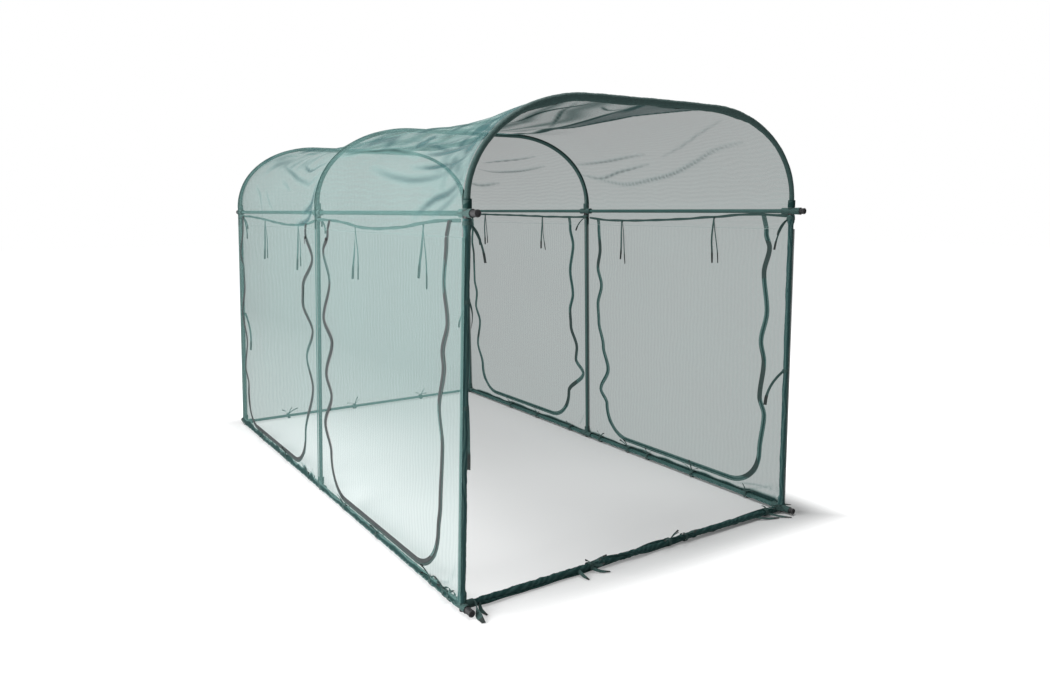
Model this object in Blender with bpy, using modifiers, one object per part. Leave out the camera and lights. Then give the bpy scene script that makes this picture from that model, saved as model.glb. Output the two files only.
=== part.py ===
"""Walk-in crop cage: three coated steel hoops in two bays under a fine net cover, with four zipped side doors.

Frame: +Z up, the open front end faces -Y, the ground is z = 0 and the origin is the middle of the footprint.
"""
import math

import bmesh
import bpy
import numpy as np
from mathutils import Matrix, Vector

# Frame line, tube axis to tube axis, in metres
LENGTH = 3.0
BAYS = 2
BASE_WIDTH = 1.80
EAVE_WIDTH = 1.73
EAVE_HEIGHT = 1.455
CROWN_HEIGHT = 1.887
CROWN_LENGTH = 0.60
RAIL_HEIGHT = 0.020

# Steel tube
TUBE_R = 0.0095
TUBE_WALL = 0.0008
TUBE_SIDES = 12
BEND_STEPS = 8
NECK_LENGTH = 0.030

# Moulded joints
JOINT_R = 0.0140
ARM_STEP = 0.0004
SOCKET_LENGTH = 0.045
SOCKET_FLOOR = 0.012
BOSS_LENGTH = 0.072
DIMPLE_DEPTH = 0.003
FOOT_R = 0.0105
JOINT_SIDES = 16

# Clearance between pieces that touch
CLEAR = 0.0003

# Net cover
NET_T = 0.0015
ROOF_SAG = 0.045
SAG_START = 0.015
ROOF_STEPS = 7
NET_END = 0.012
NET_FOOT = 0.006
DOOR_DROP = 0.083

# Tape sleeve on the front hoop and gathered wrap on the front ground rail
SLEEVE_R = 0.0135
SLEEVE_RIPPLE = 0.0016
SLEEVE_GAP = 0.003
WRAP_R = 0.0150
WRAP_RIPPLE = 0.0031
WRAP_STEPS = 24

# Zips: distances from the bay's ends, corner radii and height of the bottom run
ZIP_BOTTOM = 0.068
ZIP_HEAD = 0.024
ZIP_CORNER_R = 0.19
ZIP_STEPS = 20
ZIP_CORNER_STEPS = 4
TAPE_W = 0.026
TAPE_T = 0.0008
COIL_W = 0.007
COIL_H = 0.0020
ZIP_START = 0.008

# Zip slider
SLIDER_SIZE = (0.011, 0.017, 0.0040)
PULL_SIZE = (0.008, 0.034, 0.0016)
SLIDER_DROP = 0.030

# Hem tape and its ties
HEM_DROP = 0.030
HEM_SAG = 0.036
HEM_W = 0.015
HEM_T = 0.0013
HEM_END = 0.020
TIE_W = 0.008
TIE_LENGTH = 0.22
TIE_PLACES = {
    "left_front": (0.211, 0.660),
    "left_rear": (0.193, 0.607),
    "right_front": (0.313, 0.781),
    "right_rear": (0.318, 0.807),
}
TIE_SPREAD = (-0.032, 0.018)

# Each zip edge: mean distance from the hoop, wave height, wave length and phase
# First the edge by the bay's front hoop, then the one by its rear hoop
ZIP_WAVES = {
    "left_front": ((0.131, 0.019, 0.53, -0.8), (0.166, 0.050, 0.29, 0.0)),
    "left_rear": ((0.110, 0.050, 0.35, 2.3), (0.115, 0.045, 0.38, 0.2)),
    "right_front": ((0.141, 0.017, 0.30, 2.6), (0.138, 0.040, 0.37, 1.6)),
    "right_rear": ((0.158, 0.035, 0.33, 0.6), (0.125, 0.027, 0.18, 2.8)),
}

# Worked out from the sizes above
BASE_X = BASE_WIDTH / 2
EAVE_X = EAVE_WIDTH / 2
FRONT_Y = -LENGTH / 2
REAR_Y = LENGTH / 2
BAY_LENGTH = LENGTH / BAYS
HOOP_Y = [FRONT_Y + i * BAY_LENGTH for i in range(BAYS + 1)]
CROWN_X = CROWN_LENGTH / 2
DOOR_TOP = EAVE_HEIGHT - DOOR_DROP
HEM_HEIGHT = EAVE_HEIGHT - HEM_DROP
NET_GAP = JOINT_R + 2 * CLEAR
NET_REST = TUBE_R + CLEAR
LEG_RISE = EAVE_HEIGHT - RAIL_HEIGHT
LEG_LEAN = BASE_X - EAVE_X
LEG_LENGTH = math.hypot(LEG_RISE, LEG_LEAN)
LEAN_SIN = LEG_LEAN / LEG_LENGTH
LEAN_COS = LEG_RISE / LEG_LENGTH
BORE_INNER = TUBE_R - TUBE_WALL
FLAT = math.cos(math.pi / TUBE_SIDES)

SIDES = {"left": -1, "right": 1}
ENDS = ["front", "middle", "rear"]
BAY_NAMES = ["front", "rear"]

for old in list(bpy.data.objects):
    bpy.data.objects.remove(old)

parts = bpy.data.collections.new("crop_cage")
guides = bpy.data.collections.new("cutters_and_guides")
bpy.context.scene.collection.children.link(parts)
bpy.context.scene.collection.children.link(guides)


def make_material(name, colour, roughness, metallic=0.0, alpha=1.0):
    material = bpy.data.materials.new(name)
    material.use_nodes = True
    shader = material.node_tree.nodes["Principled BSDF"]
    shader.inputs["Base Color"].default_value = (*colour, 1.0)
    shader.inputs["Roughness"].default_value = roughness
    shader.inputs["Metallic"].default_value = metallic
    shader.inputs["Alpha"].default_value = alpha
    return material


TUBE_PAINT = make_material("green_tube_coating", (0.045, 0.125, 0.112), 0.45)
JOINT_PLASTIC = make_material("black_moulded_plastic", (0.012, 0.012, 0.013), 0.5)
NET_CLOTH = make_material("green_net", (0.24, 0.36, 0.34), 0.7, alpha=0.6)
TAPE_CLOTH = make_material("dark_green_tape", (0.035, 0.085, 0.078), 0.8)
ZIP_METAL = make_material("black_zip_slider", (0.015, 0.015, 0.016), 0.35, metallic=0.6)


def place(obj, material, collection=parts):
    """Put an object in its collection with its material."""
    collection.objects.link(obj)
    if material is not None:
        obj.data.materials.append(material)
    return obj


def hide_guide(obj):
    obj.hide_render = True
    obj.display_type = "WIRE"
    return obj


def line_curve(name, points, bevel, resolution, caps, radii=None, cyclic=False):
    """A POLY curve with a round bevel."""
    curve = bpy.data.curves.new(name, "CURVE")
    curve.dimensions = "3D"
    curve.bevel_depth = bevel
    curve.bevel_resolution = resolution
    curve.use_fill_caps = caps
    spline = curve.splines.new("POLY")
    spline.points.add(len(points) - 1)
    for i, point in enumerate(points):
        spline.points[i].co = (*point, 1.0)
        spline.points[i].radius = 1.0 if radii is None else radii[i]
    spline.use_cyclic_u = cyclic
    return bpy.data.objects.new(name, curve)


def tube(name, points, material=TUBE_PAINT):
    """A steel tube: an open round curve with its wall turned inwards."""
    obj = place(line_curve(name, points, TUBE_R, (TUBE_SIDES - 4) // 2, caps=False), material)
    wall = obj.modifiers.new("wall", "SOLIDIFY")
    wall.thickness = TUBE_WALL
    wall.offset = -1.0
    return obj


def cylinder_mesh(name, start, end, radius, sides):
    """A capped cylinder between two points."""
    start, end = Vector(start), Vector(end)
    axis = end - start
    mesh = bpy.data.meshes.new(name)
    bm = bmesh.new()
    bmesh.ops.create_cone(bm, cap_ends=True, segments=sides, radius1=radius, radius2=radius, depth=axis.length)
    turn = axis.to_track_quat("Z", "Y").to_matrix().to_4x4()
    bmesh.ops.transform(bm, matrix=Matrix.Translation((start + end) / 2) @ turn, verts=bm.verts)
    bm.to_mesh(mesh)
    bm.free()
    return mesh


def box_mesh(name, low, high):
    """A box between two corners."""
    low, high = Vector(low), Vector(high)
    size = high - low
    mesh = bpy.data.meshes.new(name)
    bm = bmesh.new()
    bmesh.ops.create_cube(bm, size=1.0)
    bmesh.ops.scale(bm, vec=size, verts=bm.verts)
    bmesh.ops.translate(bm, vec=(low + high) / 2, verts=bm.verts)
    bm.to_mesh(mesh)
    bm.free()
    return mesh


def combine(obj, mesh, operation):
    """Join a mesh to an object, or cut it out, by a live Boolean."""
    tool = hide_guide(place(bpy.data.objects.new(mesh.name, mesh), None, guides))
    step = obj.modifiers.new(operation.lower(), "BOOLEAN")
    step.operation = operation
    step.object = tool
    step.solver = "EXACT"
    return tool


def leg_point(side, along):
    """A point on a leg's axis, by its distance up the leg from the ground rail's axis."""
    return Vector((side * (BASE_X - LEAN_SIN * along), 0.0, RAIL_HEIGHT + LEAN_COS * along))


def moulded_joint(name, centre, run, arms, foot=False):
    """A socket joint: a run along Y, more arms from its centre, and blind bores for the tubes.

    run gives the reach to -Y and +Y, and arms the other directions. A reach of BOSS_LENGTH is an empty boss.
    """
    centre = Vector(centre)
    back, ahead = run
    y_dir = Vector((0, 1, 0))
    body = cylinder_mesh(name, centre - y_dir * back, centre + y_dir * ahead, JOINT_R, JOINT_SIDES)
    obj = place(bpy.data.objects.new(name, body), JOINT_PLASTIC)
    for i, direction in enumerate(arms):
        radius = JOINT_R - ARM_STEP * (i + 1)
        end = centre + direction * SOCKET_LENGTH
        combine(obj, cylinder_mesh(f"{name}_arm_{i}", centre, end, radius, JOINT_SIDES), "UNION")
    if foot:
        ground = Vector((centre.x, centre.y, 0.0))
        combine(obj, cylinder_mesh(f"{name}_foot", ground, centre, FOOT_R, JOINT_SIDES), "UNION")
    mouths = [(direction, SOCKET_LENGTH) for direction in arms]
    mouths += [(-y_dir, back), (y_dir, ahead)]
    for i, (direction, reach) in enumerate(mouths):
        floor = SOCKET_FLOOR if reach == SOCKET_LENGTH else reach - DIMPLE_DEPTH
        start = centre + direction * floor
        end = centre + direction * (reach + JOINT_R)
        bore = cylinder_mesh(f"{name}_bore_{i}", start, end, (TUBE_R + CLEAR) / FLAT, TUBE_SIDES)
        combine(obj, bore, "DIFFERENCE")
    for face in obj.data.polygons:
        face.use_smooth = True
    obj.data.set_sharp_from_angle(angle=math.radians(35))
    return obj


def hoop_line():
    """Right half of a hoop's axis from the top of the eave joint's socket to the middle, as (x, z) points.

    A quarter ellipse, then the straight that holds the crown tube's neck, then the crown.
    """
    low = EAVE_HEIGHT + SOCKET_LENGTH
    centre_x = CROWN_X + NECK_LENGTH
    angles = np.linspace(0.0, math.pi / 2, BEND_STEPS + 1)
    x = centre_x + (EAVE_X - centre_x) * np.cos(angles)
    z = low + (CROWN_HEIGHT - low) * np.sin(angles)
    return list(zip(x, z))


def offset_line(points, offsets):
    """Shift a polyline to its outer side by mitred offsets, so that its chords stay parallel to the first ones."""
    points = [Vector(p) for p in points]
    steps = [(b - a).normalized() for a, b in zip(points, points[1:])]
    normals = [Vector((d.y, -d.x)) for d in steps]
    shifted = []
    for i, point in enumerate(points):
        first = normals[max(i - 1, 0)]
        second = normals[min(i, len(normals) - 1)]
        middle = (first + second).normalized()
        shifted.append(point + middle * (offsets[i] / middle.dot(first)))
    return shifted


def wall_matrix(side, y, along, out):
    """The side wall's own frame: X along the wall, Y up the wall, Z outwards, its origin at a point of the wall."""
    up = Vector((-side * LEAN_SIN, 0.0, LEAN_COS))
    normal = Vector((side * LEAN_COS, 0.0, LEAN_SIN))
    across = Vector((0.0, side, 0.0))
    origin = leg_point(side, along) + normal * out
    origin.y = y
    turn = Matrix((across, up, normal)).transposed().to_4x4()
    return Matrix.Translation(origin) @ turn


def along_at(height):
    """Distance up a leg at a height above the ground."""
    return (height - RAIL_HEIGHT) / LEAN_COS


# Legs, hoops and rails

leg_dirs = {name: (leg_point(s, 1.0) - leg_point(s, 0.0)).normalized() for name, s in SIDES.items()}
seat = SOCKET_FLOOR + CLEAR

for end_name, y in zip(ENDS, HOOP_Y):
    for side_name, side in SIDES.items():
        foot_of_leg = leg_point(side, seat)
        top_of_leg = leg_point(side, LEG_LENGTH - seat)
        foot_of_leg.y = top_of_leg.y = y
        tube(f"{end_name}_{side_name}_leg", [foot_of_leg, top_of_leg])
        bend = [(EAVE_X, EAVE_HEIGHT + seat)] + hoop_line() + [(CROWN_X + CLEAR, CROWN_HEIGHT)]
        tube(f"{end_name}_{side_name}_bend", [(side * x, y, z) for x, z in bend])

    neck_r = BORE_INNER * FLAT - CLEAR
    neck_end = CROWN_X + NECK_LENGTH - CLEAR
    shoulder = CROWN_X - 3 * TUBE_WALL
    half = [(TUBE_R, 0.0), (TUBE_R, CROWN_X), (neck_r, CROWN_X), (neck_r, neck_end)]
    half += [(neck_r - TUBE_WALL, neck_end), (neck_r - TUBE_WALL, shoulder), (BORE_INNER, shoulder), (BORE_INNER, 0.0)]
    outer = half[1:4]
    inner = half[4:7]
    profile = [(r, -z) for r, z in reversed(outer)] + outer + inner + [(r, -z) for r, z in reversed(inner)]
    crown_mesh = bpy.data.meshes.new(f"{end_name}_crown")
    corners = [(r, 0.0, z) for r, z in profile]
    loop_edges = [(i, (i + 1) % len(corners)) for i in range(len(corners))]
    crown_mesh.from_pydata(corners, loop_edges, [])
    crown = place(bpy.data.objects.new(f"{end_name}_crown", crown_mesh), TUBE_PAINT)
    crown.location = (0.0, y, CROWN_HEIGHT)
    crown.rotation_euler = (0.0, math.pi / 2, 0.0)
    turn = crown.modifiers.new("turn", "SCREW")
    turn.steps = turn.render_steps = TUBE_SIDES
    turn.use_merge_vertices = True
    turn.merge_threshold = 0.0001
    turn.use_normal_calculate = True
    turn.use_normal_flip = True

for side_name, side in SIDES.items():
    for bay_name, y in zip(BAY_NAMES, HOOP_Y):
        near, far = y + seat, y + BAY_LENGTH - seat
        eave = [(side * EAVE_X, near, EAVE_HEIGHT), (side * EAVE_X, far, EAVE_HEIGHT)]
        tube(f"{side_name}_{bay_name}_eave_rail", eave)
        ground = [(side * BASE_X, near, RAIL_HEIGHT), (side * BASE_X, far, RAIL_HEIGHT)]
        tube(f"{side_name}_{bay_name}_ground_rail", ground)

for end_name, y in (("front", FRONT_Y), ("rear", REAR_Y)):
    reach = BASE_X - seat
    tube(f"{end_name}_cross_rail", [(-reach, y, RAIL_HEIGHT), (reach, y, RAIL_HEIGHT)])

# Moulded joints: sockets towards the tubes, an empty boss outwards on the end hoops

up_dir = Vector((0, 0, 1))
for i, (end_name, y) in enumerate(zip(ENDS, HOOP_Y)):
    back = BOSS_LENGTH if i == 0 else SOCKET_LENGTH
    ahead = BOSS_LENGTH if i == BAYS else SOCKET_LENGTH
    for side_name, side in SIDES.items():
        up_leg = leg_dirs[side_name]
        eave_centre = (side * EAVE_X, y, EAVE_HEIGHT)
        moulded_joint(f"{end_name}_{side_name}_eave_joint", eave_centre, (back, ahead), [up_dir, -up_leg])
        arms = [up_leg]
        if i in (0, BAYS):
            arms.append(Vector((-side, 0, 0)))
        base_centre = (side * BASE_X, y, RAIL_HEIGHT)
        moulded_joint(f"{end_name}_{side_name}_base_joint", base_centre, (back, ahead), arms, foot=True)

# Roof net: a loft of the hoop's outline that sags between the hoops


def roof_half():
    """Right half of the roof net's inner line at a hoop, and how much each point sags, from door head to crown."""
    socket_top = EAVE_HEIGHT + SOCKET_LENGTH
    line = [(leg_point(1, along_at(DOOR_TOP)).x, DOOR_TOP), (EAVE_X, EAVE_HEIGHT)] + hoop_line()
    line.append((0.0, CROWN_HEIGHT))
    heights = np.array([z for x, z in line])
    ramp = np.clip((heights - socket_top) / (2 * SOCKET_LENGTH), 0.0, 1.0)
    offsets = NET_GAP + (NET_REST - NET_GAP) * ramp
    share = np.clip((heights - socket_top) / (CROWN_HEIGHT - socket_top), 0.0, 1.0)
    return offset_line(line, list(offsets)), share


def sag_share(y):
    """0 at the hoops, 1 in the middle of a bay."""
    inside = (y - FRONT_Y) % BAY_LENGTH
    part = (inside - SAG_START) / (BAY_LENGTH - 2 * SAG_START)
    part = min(max(part, 0.0), 1.0)
    return 4 * part * (1 - part)


def roof_stations():
    """Places along Y: the net's ends, and evenly between the hoops."""
    first = FRONT_Y + SLEEVE_R + SLEEVE_RIPPLE + CLEAR
    last = REAR_Y + NET_GAP - CLEAR
    stations = [first]
    for y in HOOP_Y[:-1]:
        inner = np.linspace(y + SAG_START, y + BAY_LENGTH - SAG_START, ROOF_STEPS + 1)
        stations += [v for v in inner if v > first + SAG_START]
    return stations + [last]


net_line, net_share = roof_half()
stations = roof_stations()
vertices = []
for y in stations:
    for point, share in zip(net_line, net_share):
        drop = ROOF_SAG * share * sag_share(y)
        vertices.append((point.x * (1 - drop), y, point.y - drop))
row = len(net_line)
faces = []
for j in range(len(stations) - 1):
    for i in range(row - 1):
        a = j * row + i
        faces.append((a, a + row, a + row + 1, a + 1))
roof_mesh = bpy.data.meshes.new("roof_net")
roof_mesh.from_pydata(vertices, [], faces)
roof = place(bpy.data.objects.new("roof_net", roof_mesh), NET_CLOTH)
mirror = roof.modifiers.new("left_half", "MIRROR")
mirror.merge_threshold = 0.0001
thick = roof.modifiers.new("net", "SOLIDIFY")
thick.thickness = NET_T
thick.offset = 1.0
thick.use_even_offset = True
roof_mesh.shade_smooth()


def zip_line(door, half_gap=0.0):
    """The U line of a door's zip from the top by the front hoop round to the top by the rear hoop.

    Points are (distance from the bay's front hoop, distance up the wall). Each edge is straight for ZIP_HEAD
    under the hinge line, so that the door lifts clear of the nets, and below that a wave about its mean line.
    The corners are round. half_gap shifts the line towards the middle of the door.
    """
    near, far = ZIP_WAVES[door]
    top = along_at(DOOR_TOP) - CLEAR
    bottom = along_at(ZIP_BOTTOM)
    corner_top = bottom + ZIP_CORNER_R
    head = top - ZIP_HEAD
    heights = np.append(top, np.linspace(head, corner_top, ZIP_STEPS - 1))

    def wave(edge):
        mean, size, length, phase = edge
        levels = np.minimum(heights, head)
        fade = np.clip((levels - corner_top) / ZIP_CORNER_R, 0.0, 1.0)
        return mean + size * fade * np.sin(2 * math.pi * levels / length + phase)

    left = np.column_stack([wave(near), heights])
    right = np.column_stack([BAY_LENGTH - wave(far), heights])[::-1]
    angles = np.linspace(0.0, math.pi / 2, ZIP_CORNER_STEPS + 2)[1:]
    first = np.column_stack([
        near[0] + ZIP_CORNER_R * (1 - np.cos(angles)),
        corner_top - ZIP_CORNER_R * np.sin(angles),
    ])
    second = np.column_stack([
        BAY_LENGTH - far[0] - ZIP_CORNER_R * (1 - np.cos(angles)),
        corner_top - ZIP_CORNER_R * np.sin(angles),
    ])[::-1]
    points = np.vstack([left, first, second, right])
    tangent = np.gradient(points, axis=0)
    tangent /= np.linalg.norm(tangent, axis=1)[:, None]
    inward = np.column_stack([-tangent[:, 1], tangent[:, 0]])
    shifted = points + inward * half_gap
    shifted[0, 1] = shifted[-1, 1] = top
    return shifted


def flat_piece(name, outline, thickness, matrix, material, holder=None):
    """A flat closed outline with thickness, its middle plane at the matrix's origin."""
    curve = bpy.data.curves.new(name, "CURVE")
    curve.dimensions = "2D"
    curve.fill_mode = "BOTH"
    curve.extrude = thickness / 2
    spline = curve.splines.new("POLY")
    spline.points.add(len(outline) - 1)
    for point, (x, y) in zip(spline.points, outline):
        point.co = (x, y, 0.0, 1.0)
    spline.use_cyclic_u = True
    obj = bpy.data.objects.new(name, curve)
    place(obj, material, parts if holder is None else holder)
    obj.matrix_world = matrix
    return obj


def curve_to_mesh(obj):
    """A curve's closed mesh in world space, its caps welded. The curve is removed."""
    bpy.context.view_layer.update()
    evaluated = obj.evaluated_get(bpy.context.evaluated_depsgraph_get())
    mesh = bpy.data.meshes.new_from_object(evaluated)
    mesh.transform(obj.matrix_world)
    bm = bmesh.new()
    bm.from_mesh(mesh)
    bmesh.ops.remove_doubles(bm, verts=bm.verts, dist=0.00001)
    bmesh.ops.recalc_face_normals(bm, faces=bm.faces)
    bm.to_mesh(mesh)
    bm.free()
    mesh.name = obj.name
    bpy.data.objects.remove(obj)
    return mesh


def side_profile(side):
    """The side net's inner line from the door heads down the wall and round the ground rail, as (x, z)."""
    normal = Vector((side * LEAN_COS, 0.0, LEAN_SIN))
    top = leg_point(side, along_at(DOOR_TOP) - 2 * CLEAR) + normal * NET_GAP
    low = leg_point(side, 0.0) + normal * NET_GAP
    angles = np.radians(np.arange(-22.5, -181.0, -22.5))
    hem = [(side * (BASE_X + NET_GAP * math.cos(a)), RAIL_HEIGHT + NET_GAP * math.sin(a)) for a in angles]
    return [(top.x, top.z), (low.x, low.z)] + hem


def side_net(side_name, side):
    """A side wall of net: one sheet, less the two doors, with its hem cut away at the base joints."""
    ends = (FRONT_Y - NET_END, REAR_Y + NET_GAP - CLEAR)
    profile = side_profile(side)
    verts = [(x, y, z) for y in ends for x, z in profile]
    n = len(profile)
    quads = [(i, i + 1, i + 1 + n, i + n) for i in range(n - 1)]
    if side < 0:
        quads = [tuple(reversed(q)) for q in quads]
    name = f"{side_name}_side_net"
    mesh = bpy.data.meshes.new(name)
    mesh.from_pydata(verts, [], quads)
    obj = place(bpy.data.objects.new(name, mesh), NET_CLOTH)
    wall = obj.modifiers.new("net", "SOLIDIFY")
    wall.thickness = NET_T
    wall.offset = 1.0
    wall.use_even_offset = True
    for bay_name, y in zip(BAY_NAMES, HOOP_Y):
        door = f"{side_name}_{bay_name}"
        line = zip_line(door, -CLEAR / 2)
        over = np.array([0.0, NET_GAP])
        outline = np.vstack([line[0] + over, line, line[-1] + over])
        outline = np.column_stack([side * outline[:, 0], outline[:, 1]])
        matrix = wall_matrix(side, y, 0.0, NET_GAP)
        cut = flat_piece(f"{door}_door_cut", outline, 8 * NET_T, matrix, None, guides)
        combine(obj, curve_to_mesh(cut), "DIFFERENCE")
    for i, y in enumerate(HOOP_Y):
        half = JOINT_R + CLEAR
        low = (side * BASE_X - NET_GAP - 2 * NET_T, y - half, -NET_T)
        high = (side * BASE_X + NET_GAP + 2 * NET_T, y + half, RAIL_HEIGHT)
        if i == 0:
            low = (low[0], FRONT_Y - 2 * NET_END, low[2])
        if i == BAYS:
            high = (high[0], REAR_Y + 2 * NET_GAP, high[2])
        combine(obj, box_mesh(f"{name}_notch_{i}", low, high), "DIFFERENCE")
    return obj


def door_set(side_name, side, bay_name, y):
    """A door net, its zip and its slider, held by an empty on the hinge line under the hem.

    The slider is parked at the top of the edge by the middle hoop.
    """
    door = f"{side_name}_{bay_name}"
    axis_along = along_at(DOOR_TOP)
    hinge = bpy.data.objects.new(f"{door}_hinge_line", None)
    parts.objects.link(hinge)
    hinge.matrix_world = wall_matrix(side, y, axis_along, NET_GAP + NET_T)
    line = zip_line(door, CLEAR / 2)
    local = np.column_stack([side * line[:, 0], line[:, 1] - axis_along])
    net = flat_piece(f"{door}_door_net", local, NET_T, Matrix.Identity(4), NET_CLOTH)
    net.parent = hinge
    net.location = (0.0, 0.0, -NET_T / 2)

    profile = bpy.data.curves.new(f"{door}_zip_profile", "CURVE")
    profile.dimensions = "2D"
    section = profile.splines.new("POLY")
    outline = [(-TAPE_W / 2, 0.0), (TAPE_W / 2, 0.0), (TAPE_W / 2, TAPE_T), (COIL_W / 2, TAPE_T)]
    outline += [(0.0, TAPE_T + COIL_H), (-COIL_W / 2, TAPE_T), (-TAPE_W / 2, TAPE_T)]
    section.points.add(len(outline) - 1)
    for point, (px, py) in zip(section.points, reversed(outline)):
        point.co = (px, py, 0.0, 1.0)
    section.use_cyclic_u = True
    guide = hide_guide(place(bpy.data.objects.new(profile.name, profile), None, guides))
    curve = bpy.data.curves.new(f"{door}_zip", "CURVE")
    curve.dimensions = "2D"
    curve.fill_mode = "NONE"
    curve.bevel_mode = "OBJECT"
    curve.bevel_object = guide
    curve.use_fill_caps = True
    middle = zip_line(door)
    path = np.column_stack([side * middle[:, 0], middle[:, 1] - axis_along])
    path[0, 1] = path[-1, 1] = -ZIP_START
    if side < 0:
        path = path[::-1]
    run = curve.splines.new("POLY")
    run.points.add(len(path) - 1)
    for point, (px, py) in zip(run.points, path):
        point.co = (px, py, 0.0, 1.0)
    chain = place(bpy.data.objects.new(f"{door}_zip", curve), TAPE_CLOTH)
    chain.parent = hinge
    chain.location = (0.0, 0.0, CLEAR)

    base_out = 2 * CLEAR + TAPE_T + COIL_H
    sx, sy, sz = SLIDER_SIZE
    px, py, pz = PULL_SIZE
    top = -ZIP_START - SLIDER_DROP
    edge = middle[-ZIP_STEPS:] if bay_name == BAY_NAMES[0] else middle[:ZIP_STEPS][::-1]
    cx = side * np.interp(axis_along + top - sy / 2, edge[:, 1], edge[:, 0])
    body = box_mesh(f"{door}_zip_slider", (cx - sx / 2, top - sy, base_out), (cx + sx / 2, top, base_out + sz))
    slider = place(bpy.data.objects.new(f"{door}_zip_slider", body), ZIP_METAL)
    round_off = slider.modifiers.new("rounded", "BEVEL")
    round_off.width = sz / 4
    round_off.segments = 1
    low = (cx - px / 2, top - sy / 2 - py, base_out + sz - TUBE_WALL)
    high = (cx + px / 2, top - sy / 4, base_out + sz + pz)
    pull = combine(slider, box_mesh(f"{door}_zip_pull", low, high), "UNION")
    pull.parent = hinge
    slider.parent = hinge


def hem_tape(side_name, side, bay_name, y):
    """The tape above a door, sagging between the hoops, with two pairs of tie tails, in one flat piece."""
    def height(d):
        part = d / BAY_LENGTH
        return along_at(HEM_HEIGHT - HEM_SAG * 4 * part * (1 - part))

    first, last = HEM_END, BAY_LENGTH - HEM_END
    top = [(d, height(d) + HEM_W / 2) for d in np.linspace(first, last, 13)]
    stops = [last]
    for share in reversed(TIE_PLACES[f"{side_name}_{bay_name}"]):
        stops += [share * BAY_LENGTH + TIE_W, share * BAY_LENGTH - TIE_W]
    stops.append(first)
    bottom = []
    for k in range(0, len(stops), 2):
        bottom += [(d, height(d) - HEM_W / 2) for d in np.linspace(stops[k], stops[k + 1], 5)]
        if k + 2 < len(stops):
            root = (stops[k + 1] + stops[k + 2]) / 2
            tip = height(root) - TIE_LENGTH
            fork = height(root) - HEM_W
            for spread in reversed(TIE_SPREAD):
                bottom += [(root + spread + TIE_W / 2, tip), (root + spread - TIE_W / 2, tip)]
                if spread == TIE_SPREAD[1]:
                    bottom.append((root, fork))
    outline = [(side * d, h) for d, h in top + bottom]
    matrix = wall_matrix(side, y, 0.0, NET_GAP - CLEAR - HEM_T / 2)
    flat_piece(f"{side_name}_{bay_name}_hem_tape", outline, HEM_T, matrix, TAPE_CLOTH)


for side_name, side in SIDES.items():
    side_net(side_name, side)
    for bay_name, y in zip(BAY_NAMES, HOOP_Y):
        door_set(side_name, side, bay_name, y)
        hem_tape(side_name, side, bay_name, y)

# Rear net: the outline of roof and walls, notched for the joints' bosses

outer = [(p.x + NET_T, p.y) for p in net_line[:2]] + [(p.x, p.y + NET_T) for p in net_line[2:-1]]
low = leg_point(1, 0.0) + Vector((LEAN_COS, 0.0, LEAN_SIN)) * (NET_GAP + NET_T)
half = [(low.x, NET_FOOT), (low.x, low.z)] + outer
outline = half + [(-x, z) for x, z in reversed(half)]
rear_matrix = Matrix.Translation((0.0, REAR_Y + NET_GAP + NET_T / 2, 0.0)) @ Matrix.Rotation(math.pi / 2, 4, "X")
rear_curve = flat_piece("rear_net_outline", outline, NET_T, rear_matrix, None, guides)
rear = place(bpy.data.objects.new("rear_net", curve_to_mesh(rear_curve)), NET_CLOTH)
for side_name, side in SIDES.items():
    for level, x, z in (("eave", EAVE_X, EAVE_HEIGHT), ("base", BASE_X, RAIL_HEIGHT)):
        inner = side * (x - JOINT_R - CLEAR)
        past = side * (x + 3 * JOINT_R)
        bottom = z - JOINT_R - CLEAR if level == "eave" else -JOINT_R
        notch_low = (min(inner, past), REAR_Y, bottom)
        notch_high = (max(inner, past), REAR_Y + BOSS_LENGTH, z + JOINT_R + CLEAR)
        combine(rear, box_mesh(f"rear_net_{side_name}_{level}_notch", notch_low, notch_high), "DIFFERENCE")

# Sleeve of tape round the front hoop, from eave joint to eave joint

hoop = [(EAVE_X, EAVE_HEIGHT + SOCKET_LENGTH + SLEEVE_GAP)] + hoop_line()[1:]
arch = hoop + [(0.0, CROWN_HEIGHT)] + [(-x, z) for x, z in reversed(hoop)]
ripple = [1 + SLEEVE_RIPPLE / SLEEVE_R * math.sin(2.4 * i) for i in range(len(arch))]
sleeve = line_curve("front_hoop_sleeve", [(x, FRONT_Y, z) for x, z in arch], SLEEVE_R, 3, False, ripple)
place(sleeve, TAPE_CLOTH)
sleeve_wall = sleeve.modifiers.new("cloth", "SOLIDIFY")
sleeve_wall.thickness = NET_T
sleeve_wall.offset = -1.0

# Gathered net round the front ground rail

wrap_x = np.linspace(-1, 1, WRAP_STEPS) * (BASE_X - SOCKET_LENGTH - CLEAR)
wrap_ripple = [1 + WRAP_RIPPLE / WRAP_R * math.sin(1.9 * i) for i in range(WRAP_STEPS)]
wrap = line_curve("front_rail_wrap", [(x, FRONT_Y, RAIL_HEIGHT) for x in wrap_x], WRAP_R, 3, False, wrap_ripple)
place(wrap, NET_CLOTH)
wrap_wall = wrap.modifiers.new("cloth", "SOLIDIFY")
wrap_wall.thickness = NET_T
wrap_wall.offset = -1.0
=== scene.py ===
"""A walk-in crop cage in the studio: green coated steel hoops and rails under a fine knitted net cover.

All sizes are in metres. The open front faces -Y, the netted rear +Y, and the ground is z = 0.
"""
import math

import bpy
import numpy as np
from mathutils import Matrix, Vector


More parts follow.
